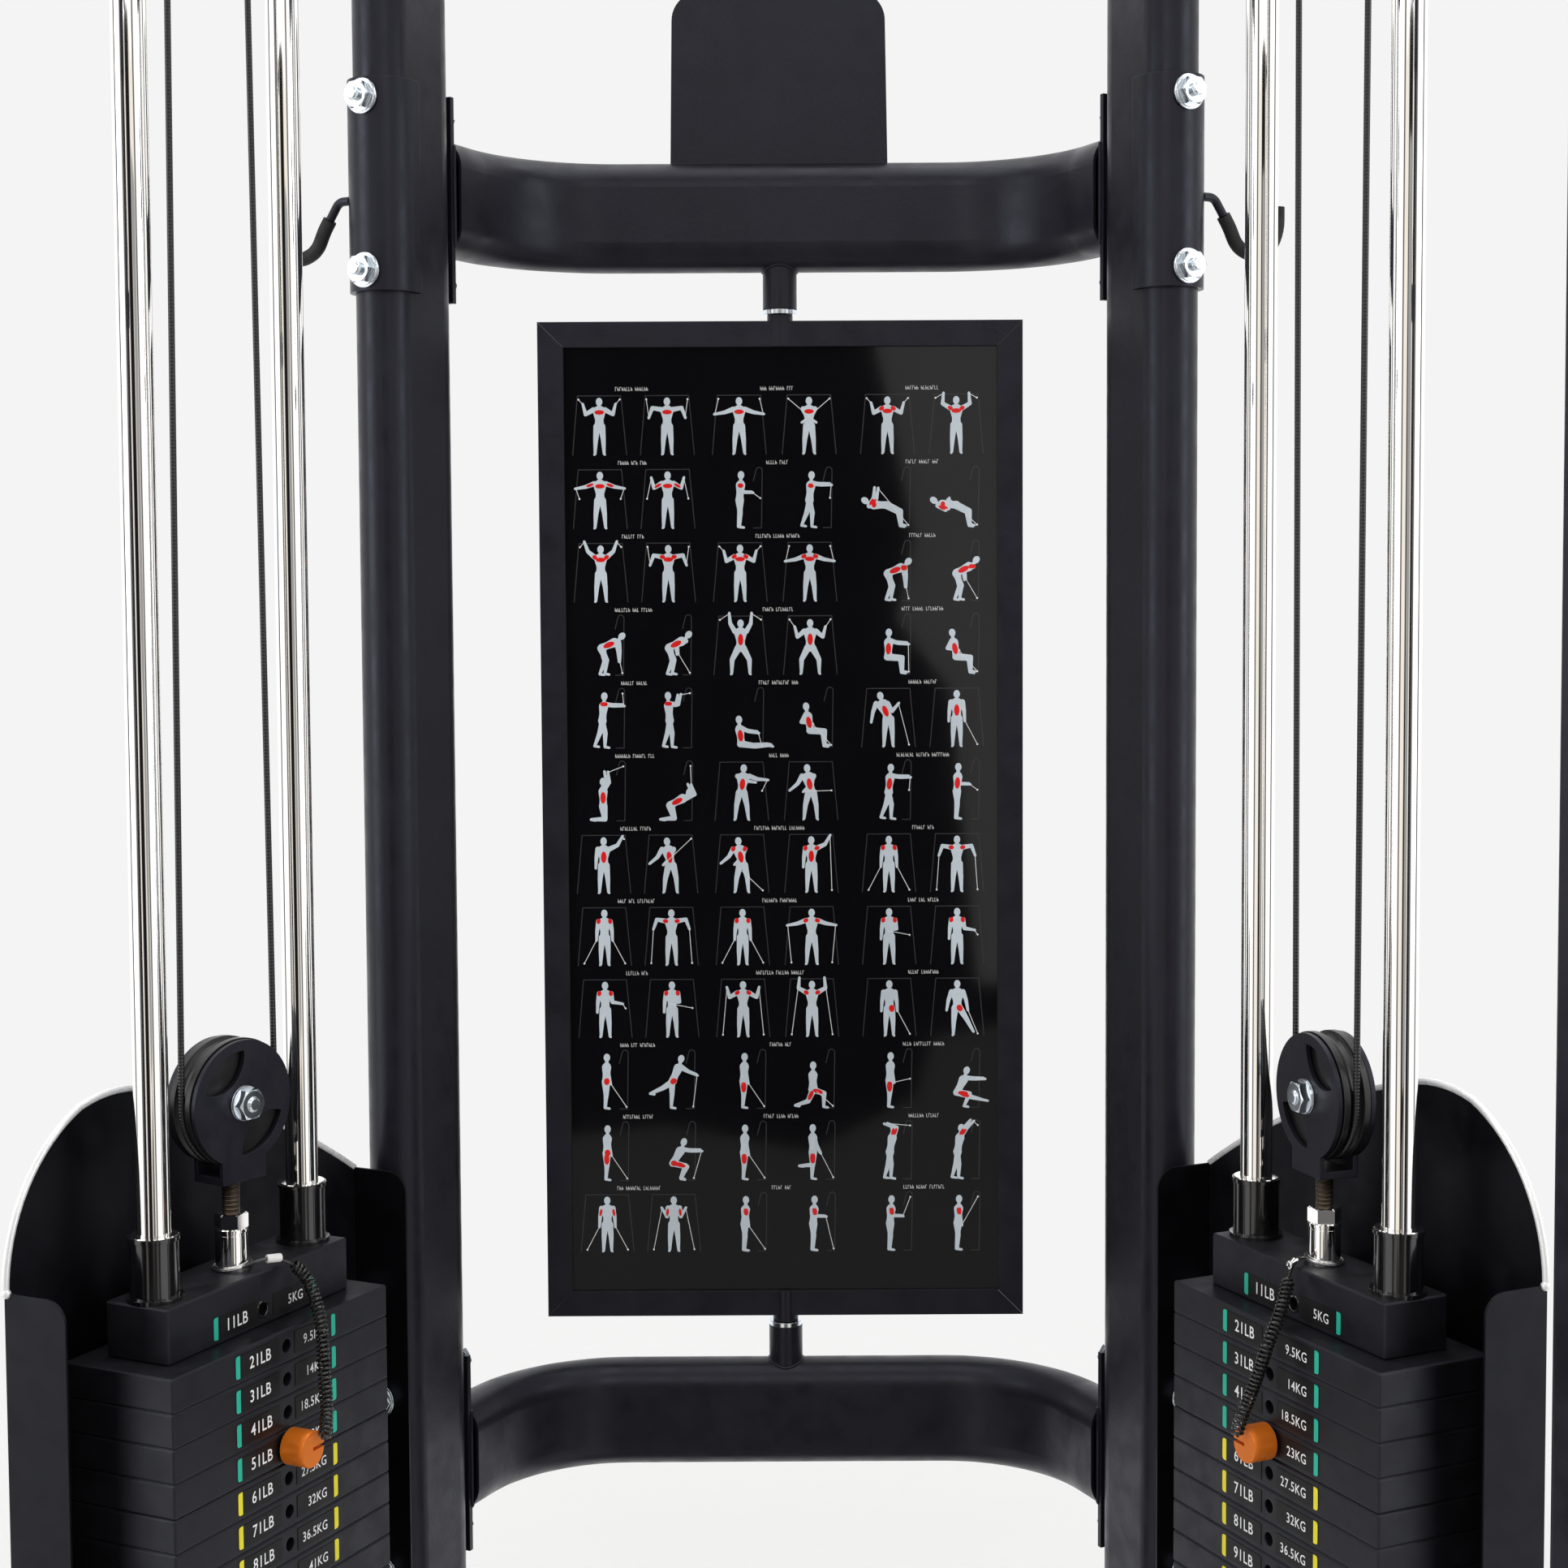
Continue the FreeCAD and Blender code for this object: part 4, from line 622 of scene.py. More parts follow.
# Limb angles in degrees from straight down, positive to the reader's right: (torso lean, left arm, right arm,
# left leg, right leg), each limb as upper and lower part. The first letter says front or side view.
POSES = {
    "F_stand": even((10, 4), (5, 2)),
    "F_wide": even((70, 80), (8, 4)),
    "F_high": even((130, 160), (8, 4)),
    "F_cross": even((-25, -60), (8, 4)),
    "F_curl": even((8, 150), (6, 3)),
    "F_press": even((120, 185), (6, 3)),
    "F_rack": even((60, 165), (6, 3)),
    "F_row": even((100, 20), (6, 3)),
    "F_oneup": (0, (-10, -4), (115, 150), (-6, -3), (6, 3)),
    "F_onein": (0, (-10, -4), (10, -80), (-6, -3), (6, 3)),
    "F_oneout": (0, (-10, -4), (10, 80), (-6, -3), (6, 3)),
    "F_bend": (-22, (-20, -10), (30, 140), (-6, -3), (6, 3)),
    "F_abduct": (0, (-20, -10), (20, 10), (-5, -2), (32, 28)),
    "F_twist": (6, (60, 80), (70, 85), (-12, -6), (12, 6)),
    "F_chop": (-10, (-30, -50), (-20, -45), (-14, -6), (12, 4)),
    "F_lat": even((150, 175), (28, 2)),
    "F_latlow": even((50, 165), (28, 2)),
    "S_stand": (3, (10, 18), (4, 12), (3, -3), (-3, -6)),
    "S_reach": (6, (85, 92), (80, 88), (16, -2), (-16, -22)),
    "S_pull": (-6, (-35, 75), (-40, 70), (14, 0), (-12, -18)),
    "S_face": (-4, (80, 170), (85, 165), (14, 0), (-14, -18)),
    "S_bent": (68, (10, 4), (6, 0), (26, -8), (10, -22)),
    "S_bentrow": (64, (-70, 10), (-75, 6), (26, -8), (10, -22)),
    "S_seat": (2, (78, 88), (72, 84), (82, 4), (88, 2)),
    "S_seatpull": (-12, (-30, 80), (-36, 76), (82, 4), (88, 2)),
    "S_seatup": (0, (165, 175), (160, 172), (82, 4), (88, 2)),
    "S_lat": (-8, (60, 150), (66, 155), (82, 4), (88, 2)),
    "S_floor": (-6, (70, 84), (64, 80), (84, 96), (80, 92)),
    "S_lie": (-88, (150, 175), (145, 170), (60, 8), (66, 4)),
    "S_liepress": (-88, (60, 170), (70, 175), (60, 8), (66, 4)),
    "S_kneel": (0, (150, 190), (145, 186), (10, -88), (4, -88)),
    "S_crunch": (62, (120, 205), (115, 200), (20, -84), (14, -86)),
    "S_lunge": (2, (12, 18), (4, 12), (72, -2), (-24, -72)),
    "S_squat": (30, (85, 92), (80, 88), (80, -22), (74, -26)),
    "S_pistol": (26, (88, 90), (84, 88), (84, -24), (70, 76)),
    "S_kick": (24, (60, 70), (55, 66), (0, -4), (-58, -66)),
    "S_hamstring": (0, (20, 30), (16, 26), (2, -3), (-4, -86)),
    "S_over": (10, (165, 250), (160, 245), (10, -2), (-12, -16)),
    "S_out": (10, (150, 140), (145, 135), (10, -2), (-12, -16)),
    "S_push": (4, (8, 90), (4, 86), (6, -3), (-4, -6)),
    "S_down": (4, (6, 14), (2, 10), (6, -3), (-4, -6)),
}
# Each cell: the first and the second pose, the muscles in red, and where the cables come from
CHART = [
    [("F_rack", "F_row", "c", "HH"), ("F_wide", "F_cross", "c", "HH"), ("F_rack", "F_press", "cs", "HH")],
    [("F_wide", "F_rack", "cu", "MM"), ("S_push", "S_reach", "c", "M"), ("S_lie", "S_liepress", "cu", "L")],
    [("F_high", "F_row", "cs", "HH"), ("F_rack", "F_wide", "cs", "HH"), ("S_bent", "S_bentrow", "bs", "L")],
    [("S_bent", "S_bentrow", "b", "L"), ("F_lat", "F_latlow", "b", "HH"), ("S_seat", "S_seatpull", "b", "L")],
    [("S_reach", "S_face", "s", "H"), ("S_floor", "S_seatpull", "b", "L"), ("F_bend", "F_stand", "b", "L")],
    [("S_kneel", "S_crunch", "b", "H"), ("F_twist", "F_chop", "b", "M"), ("S_reach", "S_push", "b", "M")],
    [("F_oneup", "F_chop", "b", "H"), ("F_chop", "F_oneup", "bs", "L"), ("F_stand", "F_row", "s", "LL")],
    [("F_stand", "F_row", "s", "LL"), ("F_stand", "F_wide", "s", "LL"), ("F_onein", "F_oneout", "s", "M")],
    [("F_oneout", "F_onein", "s", "M"), ("F_rack", "F_press", "s", "LL"), ("F_stand", "F_abduct", "h", "L")],
    [("S_stand", "S_kick", "h", "L"), ("S_stand", "S_lunge", "t", "L"), ("S_stand", "S_pistol", "t", "M")],
    [("S_stand", "S_squat", "th", "L"), ("S_stand", "S_hamstring", "t", "L"), ("S_over", "S_out", "u", "H")],
    [("F_stand", "F_curl", "u", "LL"), ("S_down", "S_push", "u", "L"), ("S_push", "S_down", "u", "H")],
]
ROW_STEP, FIRST_GROUND, CAPTION_LIFT = 0.0694, 1.3015, 0.0600
FIGURE_AT = ((-0.171, -0.107), (-0.039, 0.027), (0.101, 0.166))
CAPTION_AT = (-0.140, -0.003, 0.134)
TORSO, UPPER_ARM, FOREARM, THIGH, SHIN = 0.0165, 0.0085, 0.0095, 0.0125, 0.0130
BOARD_FRONT, PRINT, LAYER = 0.4613, 0.00006, 0.0000035
STROKE_STEP, STROKE_TALL, STROKE_THICK = 0.0021, 0.0036, 0.00008


def reach(start, length, angle):
    """The far end of a limb, its angle in degrees from straight down."""
    a = math.radians(angle)
    return (start[0] + length * math.sin(a), start[1] - length * math.cos(a))


def limb(a, b, wide_a, wide_b, level):
    """Tapered stroke with round ends, in x and y."""
    ax, ay, bx, by = *a, *b
    heading = math.atan2(by - ay, bx - ax)
    outline = []
    for (x, y), radius, turn in (((bx, by), wide_b, -90), ((ax, ay), wide_a, 90)):
        for k in range(9):
            angle = heading + math.radians(turn + 22.5 * k)
            outline.append((x + radius * math.cos(angle), y + radius * math.sin(angle)))
    return slab(outline, level, level + PRINT)


def layered(parts):
    """Each mark a hair above the one before it, so that no two printed faces share a plane."""
    return [(*moved(part, Matrix.Translation((0, 0, LAYER * k))), kind)
            for k, (part, kind) in enumerate(parts)]


def patch(centre, along_angle, half_long, half_wide, level):
    """An oval mark, its long way at an angle in degrees from straight down."""
    c, s = math.sin(math.radians(along_angle)), -math.cos(math.radians(along_angle))
    outline = []
    for k in range(12):
        u, v = half_long * math.cos(k * math.pi / 6), half_wide * math.sin(k * math.pi / 6)
        outline.append((centre[0] + u * c - v * s, centre[1] + u * s + v * c))
    return slab(outline, level, level + PRINT)


def between(a, b, share):
    """The place at a share of the way from a to b."""
    return (a[0] + (b[0] - a[0]) * share, a[1] + (b[1] - a[1]) * share)


def figure(pose, muscles, cables, at):
    """A plain figure and the cables to its hands, as (part, material), with its feet on the ground line."""
    lean, *limbs = POSES[pose]
    front = pose[0] == "F"
    hip_half, shoulder_half = (0.0023, 0.0055) if front else (0.0008, 0.0010)
    neck = reach((0, 0), TORSO, 180 - lean)
    joints = []
    for k, (upper, lower) in enumerate(limbs):
        side = -1 if k % 2 == 0 else 1
        arm = k < 2
        root = (neck[0] + side * shoulder_half, neck[1] - 0.0012) if arm else (side * hip_half, -0.0005)
        middle = reach(root, UPPER_ARM if arm else THIGH, upper)
        joints.append((root, middle, reach(middle, FOREARM if arm else SHIN, lower)))
    ground = min(min(p[1] for p in joint) for joint in joints) - 0.0012
    dx, dy = at[0], at[1] - ground

    def put(p):
        return (p[0] + dx, p[1] + dy)

    parts = []
    for k, (root, middle, end) in enumerate(joints):
        wide = (0.0024, 0.0018, 0.0012) if k < 2 else (0.0033, 0.0023, 0.0013)
        level = 0.0001 if front or k % 2 else 0.0
        parts.append(limb(put(root), put(middle), wide[0], wide[1], level))
        parts.append(limb(put(middle), put(end), wide[1], wide[2], level))
        if k > 1:
            toe = (end[0] + (0.0006 * (1 if k % 2 else -1) if front else 0.0040), end[1] - 0.0008)
            parts.append(limb(put(end), put(toe), 0.0013, 0.0011, level))
        else:
            parts.append(patch(put(end), limbs[k][1], 0.0018, 0.0013, level))
    hips, nod, up = (0, 0), 180 - lean * 0.6, 180 - lean
    waist, chest = between(hips, neck, 0.35), between(hips, neck, 0.80)
    trunk = (0.0043, 0.0039, 0.0060) if front else (0.0037, 0.0033, 0.0044)
    parts.append(limb(put(hips), put(waist), trunk[0], trunk[1], 0.0001))
    parts.append(limb(put(waist), put(chest), trunk[1], trunk[2], 0.0001))
    head = reach(neck, 0.0062, nod)
    parts.append(limb(put(neck), put(head), 0.0016, 0.0016, 0.0001))
    parts.append(patch(put(head), nod, 0.0039, 0.0031, 0.0002))
    parts = [(part, 0) for part in parts]
    spots = {"c": [(between(hips, neck, 0.78), up + 90, 0.0046 if front else 0.0028, 0.0022)],
             "b": [(between(hips, neck, 0.45), up, 0.0056, 0.0026)],
             "s": [(joints[k][0], limbs[k][0], 0.0026, 0.0020) for k in (0, 1)],
             "u": [(between(joints[k][0], joints[k][1], 0.5), limbs[k][0], 0.0036, 0.0014) for k in (0, 1)],
             "t": [(between(joints[k][0], joints[k][1], 0.5), limbs[k][0], 0.0050, 0.0021) for k in (2, 3)],
             "h": [(joints[3][0], limbs[3][0], 0.0034, 0.0028)]}
    for muscle in muscles:
        for centre, angle, long_half, wide_half in spots[muscle]:
            parts.append((patch(put(centre), angle, long_half, wide_half, 0.00022), 1))
    for k, level in enumerate(cables):
        right = k or len(cables) == 1
        anchor = (at[0] + (0.0195 if right else -0.0195), at[1] + {"H": 0.052, "M": 0.028, "L": 0.002}[level])
        hand = put(joints[1 if right else 0][2])
        parts.append((limb(hand, anchor, 0.00028, 0.00028, 0.00026), 2))
        parts.append((patch(anchor, 0, 0.0009, 0.0009, 0.00026), 2))
    return parts


def station(at, front):
    """Faint outline of the machine behind a figure."""
    x, y = at
    if front:
        path = [(-0.0255, 0), (-0.0205, 0.0555), (0.0205, 0.0555), (0.0255, 0)]
    else:
        hook = [(0.0185 + 0.0030 * math.cos(a), 0.0540 + 0.0030 * math.sin(a))
                for a in np.linspace(0, math.pi, 7)]
        path = [(0.0130, 0), (0.0205, 0), *hook, (0.0130, 0.044)]
    path = [(x + px, y + py) for px, py in path]
    return [(limb(a, b, 0.0005, 0.0005, -0.00002), 3) for a, b in zip(path, path[1:])]


def caption(x, y, cell, rng):
    """A line of small marks where the chart prints an exercise's name: strokes, not letters."""
    widths = [int(w) for w in rng.integers(3, 9, size=2 + cell % 2)]
    left = x - (sum(widths) + len(widths) - 1) * STROKE_STEP / 2
    strokes = []
    for word in widths:
        for _ in range(word):
            kind = rng.integers(0, 4)
            height = y + (0.0, 0.5, 1.0, 0.5)[kind] * (STROKE_TALL - 0.0004)
            strokes.append((left, left + 0.0003, y, y + STROKE_TALL))
            strokes.append((left, left + 0.0013, height, height + 0.0004))
            if kind % 2:
                strokes.append((left + 0.0010, left + 0.0014, y, y + STROKE_TALL * 0.55))
            left += STROKE_STEP
        left += STROKE_STEP
    return [(slab(rounded(*stroke), 0, STROKE_THICK), 4) for stroke in strokes]


def chart():
    """The whole print: two figures and a caption to each cell."""
    rng = np.random.default_rng(7)
    parts = []
    for row, cells in enumerate(CHART):
        ground = FIRST_GROUND - ROW_STEP * row
        for column, (first, second, muscles, cables) in enumerate(cells):
            for x, pose in zip(FIGURE_AT[column], (first, second)):
                parts += layered(station((x, ground), pose[0] == "F"))
                parts += layered(figure(pose, muscles, cables, (x, ground)))
            parts += layered(caption(CAPTION_AT[column], ground + CAPTION_LIFT, row + column, rng))
    stand = Matrix(((1, 0, 0, 0), (0, 0, -1, BOARD_FRONT), (0, 1, 0, 0), (0, 0, 0, 1)))
    flat = [(*moved(part[:2], stand), part[2]) for part in parts]
    inks = [INK_FIGURE, INK_RED, INK_LINE, INK_FAINT, TEXT_WHITE]
    make("chart_print", flat, inks, "placard")


chart()


# ---------------------------------------------------------------- cables

def cable_turn(hand):
    """The turn under the travelling wheel and its two legs."""
    out = Vector((math.cos(TURN[hand]), math.sin(TURN[hand]), 0)) * HUB_PITCH
    hub = Vector((STEM, STACK_Q, HUB_Z))
    arc = [hub - out * math.cos(a) - Vector((0, 0, HUB_PITCH * math.sin(a)))
           for a in np.linspace(0, math.pi, 25)]
    path = [Vector((NEAR_LEG[0], CABLE_Q, NEAR_LEG[1])), *arc, Vector((FAR_LEG[0], CABLE_Q, FAR_LEG[1]))]
    piece = make("stack_cable_" + hand, [tube(path, CABLE_RADIUS, 14)], [CABLE], None, hand)
    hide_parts("lift_cables_" + hand)
    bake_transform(piece)


def carriage_run(hand, name, fixed_z, riding_z):
    """A straight run between a fixed pulley and the carriage."""
    ends = [(RUN_T, CABLE_Q, fixed_z), (RUN_T, CABLE_Q, riding_z)]
    piece = make(f"{name}_run_{hand}", [tube(ends, CABLE_RADIUS, 14)], [CABLE], None, hand)
    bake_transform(piece)
    return piece


def pulled_cable(hand):
    """The stretch between the swivel's wheel and the ball."""
    ends = [(HANG_T, CABLE_Q, CARRIAGE_Z - LUG + 0.004), (HANG_T, CABLE_Q, BALL_Z + 0.004)]
    piece = make("pulled_cable_" + hand, [tube(ends, CABLE_RADIUS, 14)], [CABLE], None, hand)
    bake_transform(piece)


for each in HANDS:
    cable_turn(each)
    upper_run = carriage_run(each, "upper", HIGH_Z, CARRIAGE_Z + LUG + 0.024)
    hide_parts("carriage_cables_" + each)
    carriage_run(each, "lower", FOOT_Z, CARRIAGE_Z - LUG - 0.008)
    pulled_cable(each)


# ---------------------------------------------------------------- fasteners

THREAD_PITCH, THREAD_DEPTH, NUT_RADIUS = 0.0016, 0.0005, 0.0126


def thread(radius, long):
    """Bolt end with its thread and a turned point."""
    profile = [(0, 0)]
    z = 0.0
    while z < long - 0.0012:
        profile += [(radius, z), (radius - THREAD_DEPTH, z + THREAD_PITCH / 2)]
        z += THREAD_PITCH
    profile += [(radius - THREAD_DEPTH, long - 0.0010), (radius - 0.0016, long), (0, long)]
    return lathe(profile, 24)


def nut(origin, direction, stub, tall=0.0085, washer=0.0150):
    """Washer, flange nut and the bolt's end, standing on a face. The stub is the bolt past the nut."""
    stand = along(origin, direction)
    bore, radius = 0.0061, NUT_RADIUS
    ring = lathe([(bore, 0.0002), (washer, 0.0002), (washer, 0.0016), (washer - 0.0008, 0.0022),
                  (bore, 0.0022)], 36)
    skirt = lathe([(bore, 0.0021), (radius + 0.0010, 0.0021), (radius + 0.0006, 0.0034), (bore, 0.0040)], 36)
    lifted = stand @ Matrix.Translation((0, 0, 0.0026))
    return [moved(ring, stand), moved(skirt, stand), moved(hex_nut(radius, tall), lifted),
            moved(thread(bore - 0.0002, tall + stub), lifted)]


def bolt_heads(hand):
    """Flange nuts and threaded ends on the upright's through bolts and the pulleys' bolts."""
    parts = []
    for near_face, levels in ((0.3832, (1.592, 1.446)), (0.3798, (0.469, 0.315))):
        for level in levels:
            parts += nut((near_face, FRAME_Q, level), (-1, 0, 0), 0.0060)
            parts += nut((0.4952, FRAME_Q, level), (1, 0, 0), 0.0050)
    for t, level in ((0.048, 1.892), (0.134, 1.942), (-0.084, 1.892), (-0.182, 1.942), (-0.175, 0.148)):
        parts += nut((t, 0.0219, level), (0, -1, 0), 0.0040)
        parts += nut((t, 0.0821, level), (0, 1, 0), 0.0040)
    make("flange_nuts_" + hand, parts, [ZINC], "root", hand)


def pulley_bolt(hand):
    """Both ends of the travelling wheel's bolt."""
    turn = Matrix.Translation((STEM, STACK_Q, HUB_Z)) @ Matrix.Rotation(TURN[hand], 4, "Z")
    parts = []
    for side in (-1, 1):
        parts += nut((0, side * 0.0161, 0), (0, side, 0), 0.0020, 0.0080, 0.0136)
    parts = [moved(part, turn) for part in parts]
    make("travelling_nuts_" + hand, parts, [ZINC], "stack_" + hand, hand)


def stem_top(hand):
    """Threaded stud between the boss and the travelling bracket, and the bright rings on boss and collars."""
    spot = Matrix.Translation((STEM, STACK_Q, 0))
    low, high = HEAD_TOP + 0.032, HUB_Z - 0.060
    nut_top = low + 0.011
    profile = [(0.0060, nut_top - 0.001)]
    z = nut_top
    while z < high - 0.0005:
        profile += [(0.0068, z), (0.0062, z + 0.00085)]
        z += 0.0017
    profile += [(0.0060, high)]
    make("stem_thread_" + hand, [moved(lathe(profile, 24), spot)], [STUD], "stack_" + hand, hand)
    boss = lathe([(0.0109, HEAD_TOP), (0.01255, HEAD_TOP), (0.01255, HEAD_TOP + 0.0270),
                  (0.0118, HEAD_TOP + 0.0278), (0.0118, HEAD_TOP + 0.0286), (0.0132, HEAD_TOP + 0.0292),
                  (0.0132, low - 0.0006), (0.0126, low + 0.0002), (0.0061, low + 0.0002)], 44)
    lock = moved(hex_nut(0.0128, 0.0112), Matrix.Translation((0, 0, low + 0.0002)))
    rings = [moved(boss, spot), moved(lock, spot)]
    z = HEAD_TOP + 0.047
    ring = lathe([(0.0129, z), (0.0178, z), (0.0181, z + 0.0004), (0.0176, z + 0.0010),
                  (0.0129, z + 0.0012)], 40)
    rings += [moved(ring, Matrix.Translation((t, STACK_Q, 0))) for t in (0.042, 0.218)]
    make("bright_rings_" + hand, rings, [CHROME], "stack_" + hand, hand)


def hole_rim(hand):
    """Pressed steel rim round the head plate's hole."""
    rim = lathe([(0.0049, -0.0004), (0.0049, 0.0006), (0.0054, 0.0009), (0.0066, 0.0006),
                 (0.0070, -0.0002)], 28)
    stand = along((STEM, HEAD_Q, STACK_TOP + HEAD_HOLE), (0, -1, 0))
    make("hole_rim_" + hand, [moved(rim, stand)], [GLOSS], "stack_" + hand, hand)


def shroud_bolts(hand):
    """Half-round heads that hold the sheet to the upright, seen inside it."""
    dome = [(0.0095 * math.cos(a), 0.0055 * math.sin(a)) for a in np.linspace(0, math.pi / 2, 8)]
    profile = [(0, -0.001), (0.0095, -0.001), *dome[:-1], (0, 0.0055)]
    parts = [moved(lathe(profile, 28), along((t, 0.1179, z), (0, -1, 0)))
             for t, z in ((0.350, 0.560), (0.350, 0.330), (0.350, 0.140), (0.0, 0.560), (0.0, 0.140))]
    make("shroud_rivets_" + hand, parts, [ZINC], "root", hand)


def arc_through(a, b, c, steps=16):
    """Points along the circle through three places in t and z, from the first to the last."""
    (ax, ay), (bx, by), (cx, cy) = a, b, c
    d = 2 * (ax * (by - cy) + bx * (cy - ay) + cx * (ay - by))
    aa, bb, cc = ax * ax + ay * ay, bx * bx + by * by, cx * cx + cy * cy
    ux = (aa * (by - cy) + bb * (cy - ay) + cc * (ay - by)) / d
    uy = (aa * (cx - bx) + bb * (ax - cx) + cc * (bx - ax)) / d
    radius = math.hypot(ax - ux, ay - uy)
    first, middle, last = [math.atan2(y - uy, x - ux) for x, y in (a, b, c)]
    sweep = (last - first) % (2 * math.pi)
    if (middle - first) % (2 * math.pi) > sweep:
        sweep -= 2 * math.pi
    angles = [first + sweep * k / steps for k in range(steps + 1)]
    return [(ux + radius * math.cos(a), uy + radius * math.sin(a)) for a in angles]


def shroud_trim(hand):
    """Edge trim over the sheet's arched top, ending in a bead at the near lip, coloured near-white as a
    painted highlight of its glint.
    """
    edge = arc_through((0.382, 0.672), (0.240, 0.748), (0.104, 0.794))
    edge += arc_through((0.104, 0.794), (0.075, 0.796), (0.044, 0.791), 6)[1:]
    edge += arc_through((0.044, 0.791), (-0.005, 0.755), (-0.036, 0.672))[1:]
    path = [(t, 0.1190, z) for t, z in edge]
    ball = moved(lathe(half_round(0.0036, 9), 16), Matrix.Translation((-0.0362, 0.1180, 0.6716)))
    make("shroud_trim_" + hand, [tube(path, 0.0028, 12), ball], [TRIM_PAINTED_GLINT], "root", hand)


for each in HANDS:
    bolt_heads(each)
    pulley_bolt(each)
    stem_top(each)
    hole_rim(each)
    shroud_bolts(each)
    shroud_trim(each)


# ---------------------------------------------------------------- selector pin

def pin_knob(hand):
    """Turned knob with a slot across half its face, on a chrome pin."""
    level = STACK_TOP - PLATE / 2 - PITCH * (SELECTED - 1)
    radius, half_slot, deep = 0.0140, 0.0014, 0.0140
    edge = math.asin(half_slot / radius)
    notch = [(radius * math.cos(a), radius * math.sin(a)) for a in np.linspace(edge, 2 * math.pi - edge, 61)]
    notch += [(0.0, -half_slot), (0.0, half_slot)]
    small = [(x * 0.965, y * 0.965) for x, y in notch[:-2]] + notch[-2:]
    count = len(notch)
    levels = ((notch, 0.0), (notch, 0.0062), (small, 0.0070))
    face = [Vector((x, y, z)) for outline, z in levels for x, y in outline]
    faces = ends(0, 2 * count, count) + quads(0, count, count) + quads(count, 2 * count, count)
    back = lathe([(0, 0), (radius - 0.0008, 0), (radius, 0.0008), (radius, deep), (0, deep)], 60)
    stand = along((STEM, -0.002, level), (0, -1, 0), (1, 0, 0))
    toward = stand.inverted() @ Vector((STEM + 1, -0.002, level))
    local = stand @ Matrix.Rotation(math.atan2(toward.y, toward.x), 4, "Z")
    parts = [(*moved(back, local), 0), (*moved((face, faces), local @ Matrix.Translation((0, 0, deep))), 0)]
    shaft = lathe([(0, 0), (0.0036, 0), (0.0047, 0.0015), (0.0047, 0.0640), (0, 0.0640)], 32)
    parts.append((*moved(shaft, along((STEM, 0.0610, level), (0, -1, 0))), 1))
    piece = make("pin_knob_" + hand, parts, [ORANGE, CHROME], "selector_pin_" + hand, hand)
    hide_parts("selector_pin_" + hand)


for each in HANDS:
    pin_knob(each)


# ---------------------------------------------------------------- handles

def ribbon(path, half_wide, thick):
    """Webbing along a line in q and z, its width along t: a flat band with soft selvedges."""
    half, edge = thick / 2, half_wide - 0.0007
    inner = half_wide - 0.003
    section = [(-half_wide, 0.0), (-edge, half), (-inner, half), (0.0, half), (inner, half), (edge, half)]
    section += [(-x, -y) for x, y in section]
    count, many = len(path), len(section)
    points, faces = [], []
    for i, (q, z) in enumerate(path):
        before, after = path[i - 1], path[(i + 1) % count]
        ahead = Vector((0, after[0] - before[0], after[1] - before[1])).normalized()
        out = Vector((0, -ahead.z, ahead.y))
        points += [Vector((HANG_T + x, q, z)) + out * y for x, y in section]
    for i in range(count):
        faces += quads(i * many, (i + 1) % count * many, many)
    return points, faces


def corner_path(corners, radii, steps=8):
    """A closed line with its corners rounded."""
    line = []
    count = len(corners)
    for k in range(count):
        here = Vector(corners[k])
        back = (Vector(corners[k - 1]) - here).normalized()
        ahead = (Vector(corners[(k + 1) % count]) - here).normalized()
        start, end = here + back * radii[k], here + ahead * radii[k]
        for step in range(steps + 1):
            share = step / steps
            line.append(tuple(start * (1 - share) ** 2 + here * 2 * share * (1 - share) + end * share ** 2))
    return line


def snap_hook(hand):
    """Wire snap hook with its sprung gate and the pin it turns on."""
    top, low, half = EYE_Z - 0.0027, EYE_Z - 0.0587, 0.018
    shoulder = top - half
    arc = [(half * math.cos(a), shoulder + half * math.sin(a)) for a in np.linspace(math.pi, 0, 17)]
    foot = [(half, low + 0.005), (half - 0.0015, low + 0.0015), (half - 0.005, low)]
    loop = arc + foot + [(-x, z) for x, z in reversed(foot)]
    parts = [tube([(HANG_T + x, CABLE_Q, z) for x, z in loop], 0.0026, 14, closed=True)]
    gate = lathe(pill(0.0030, 0.0034, 0.0012, 0.0272), 20)
    parts.append(moved(gate, along((HANG_T + half, CABLE_Q, low + 0.008), (0, 0, 1), (1, 0, 0))))
    rivet = lathe(pill(0.0016, 0.0022, 0.0008, 0.0090), 16)
    parts.append(moved(rivet, along((HANG_T + half, CABLE_Q - 0.0045, low + 0.0105), (0, 1, 0))))
    hook = make("snap_hook_" + hand, parts, [ZINC], "handle_" + hand, hand)
    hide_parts("handle_" + hand)


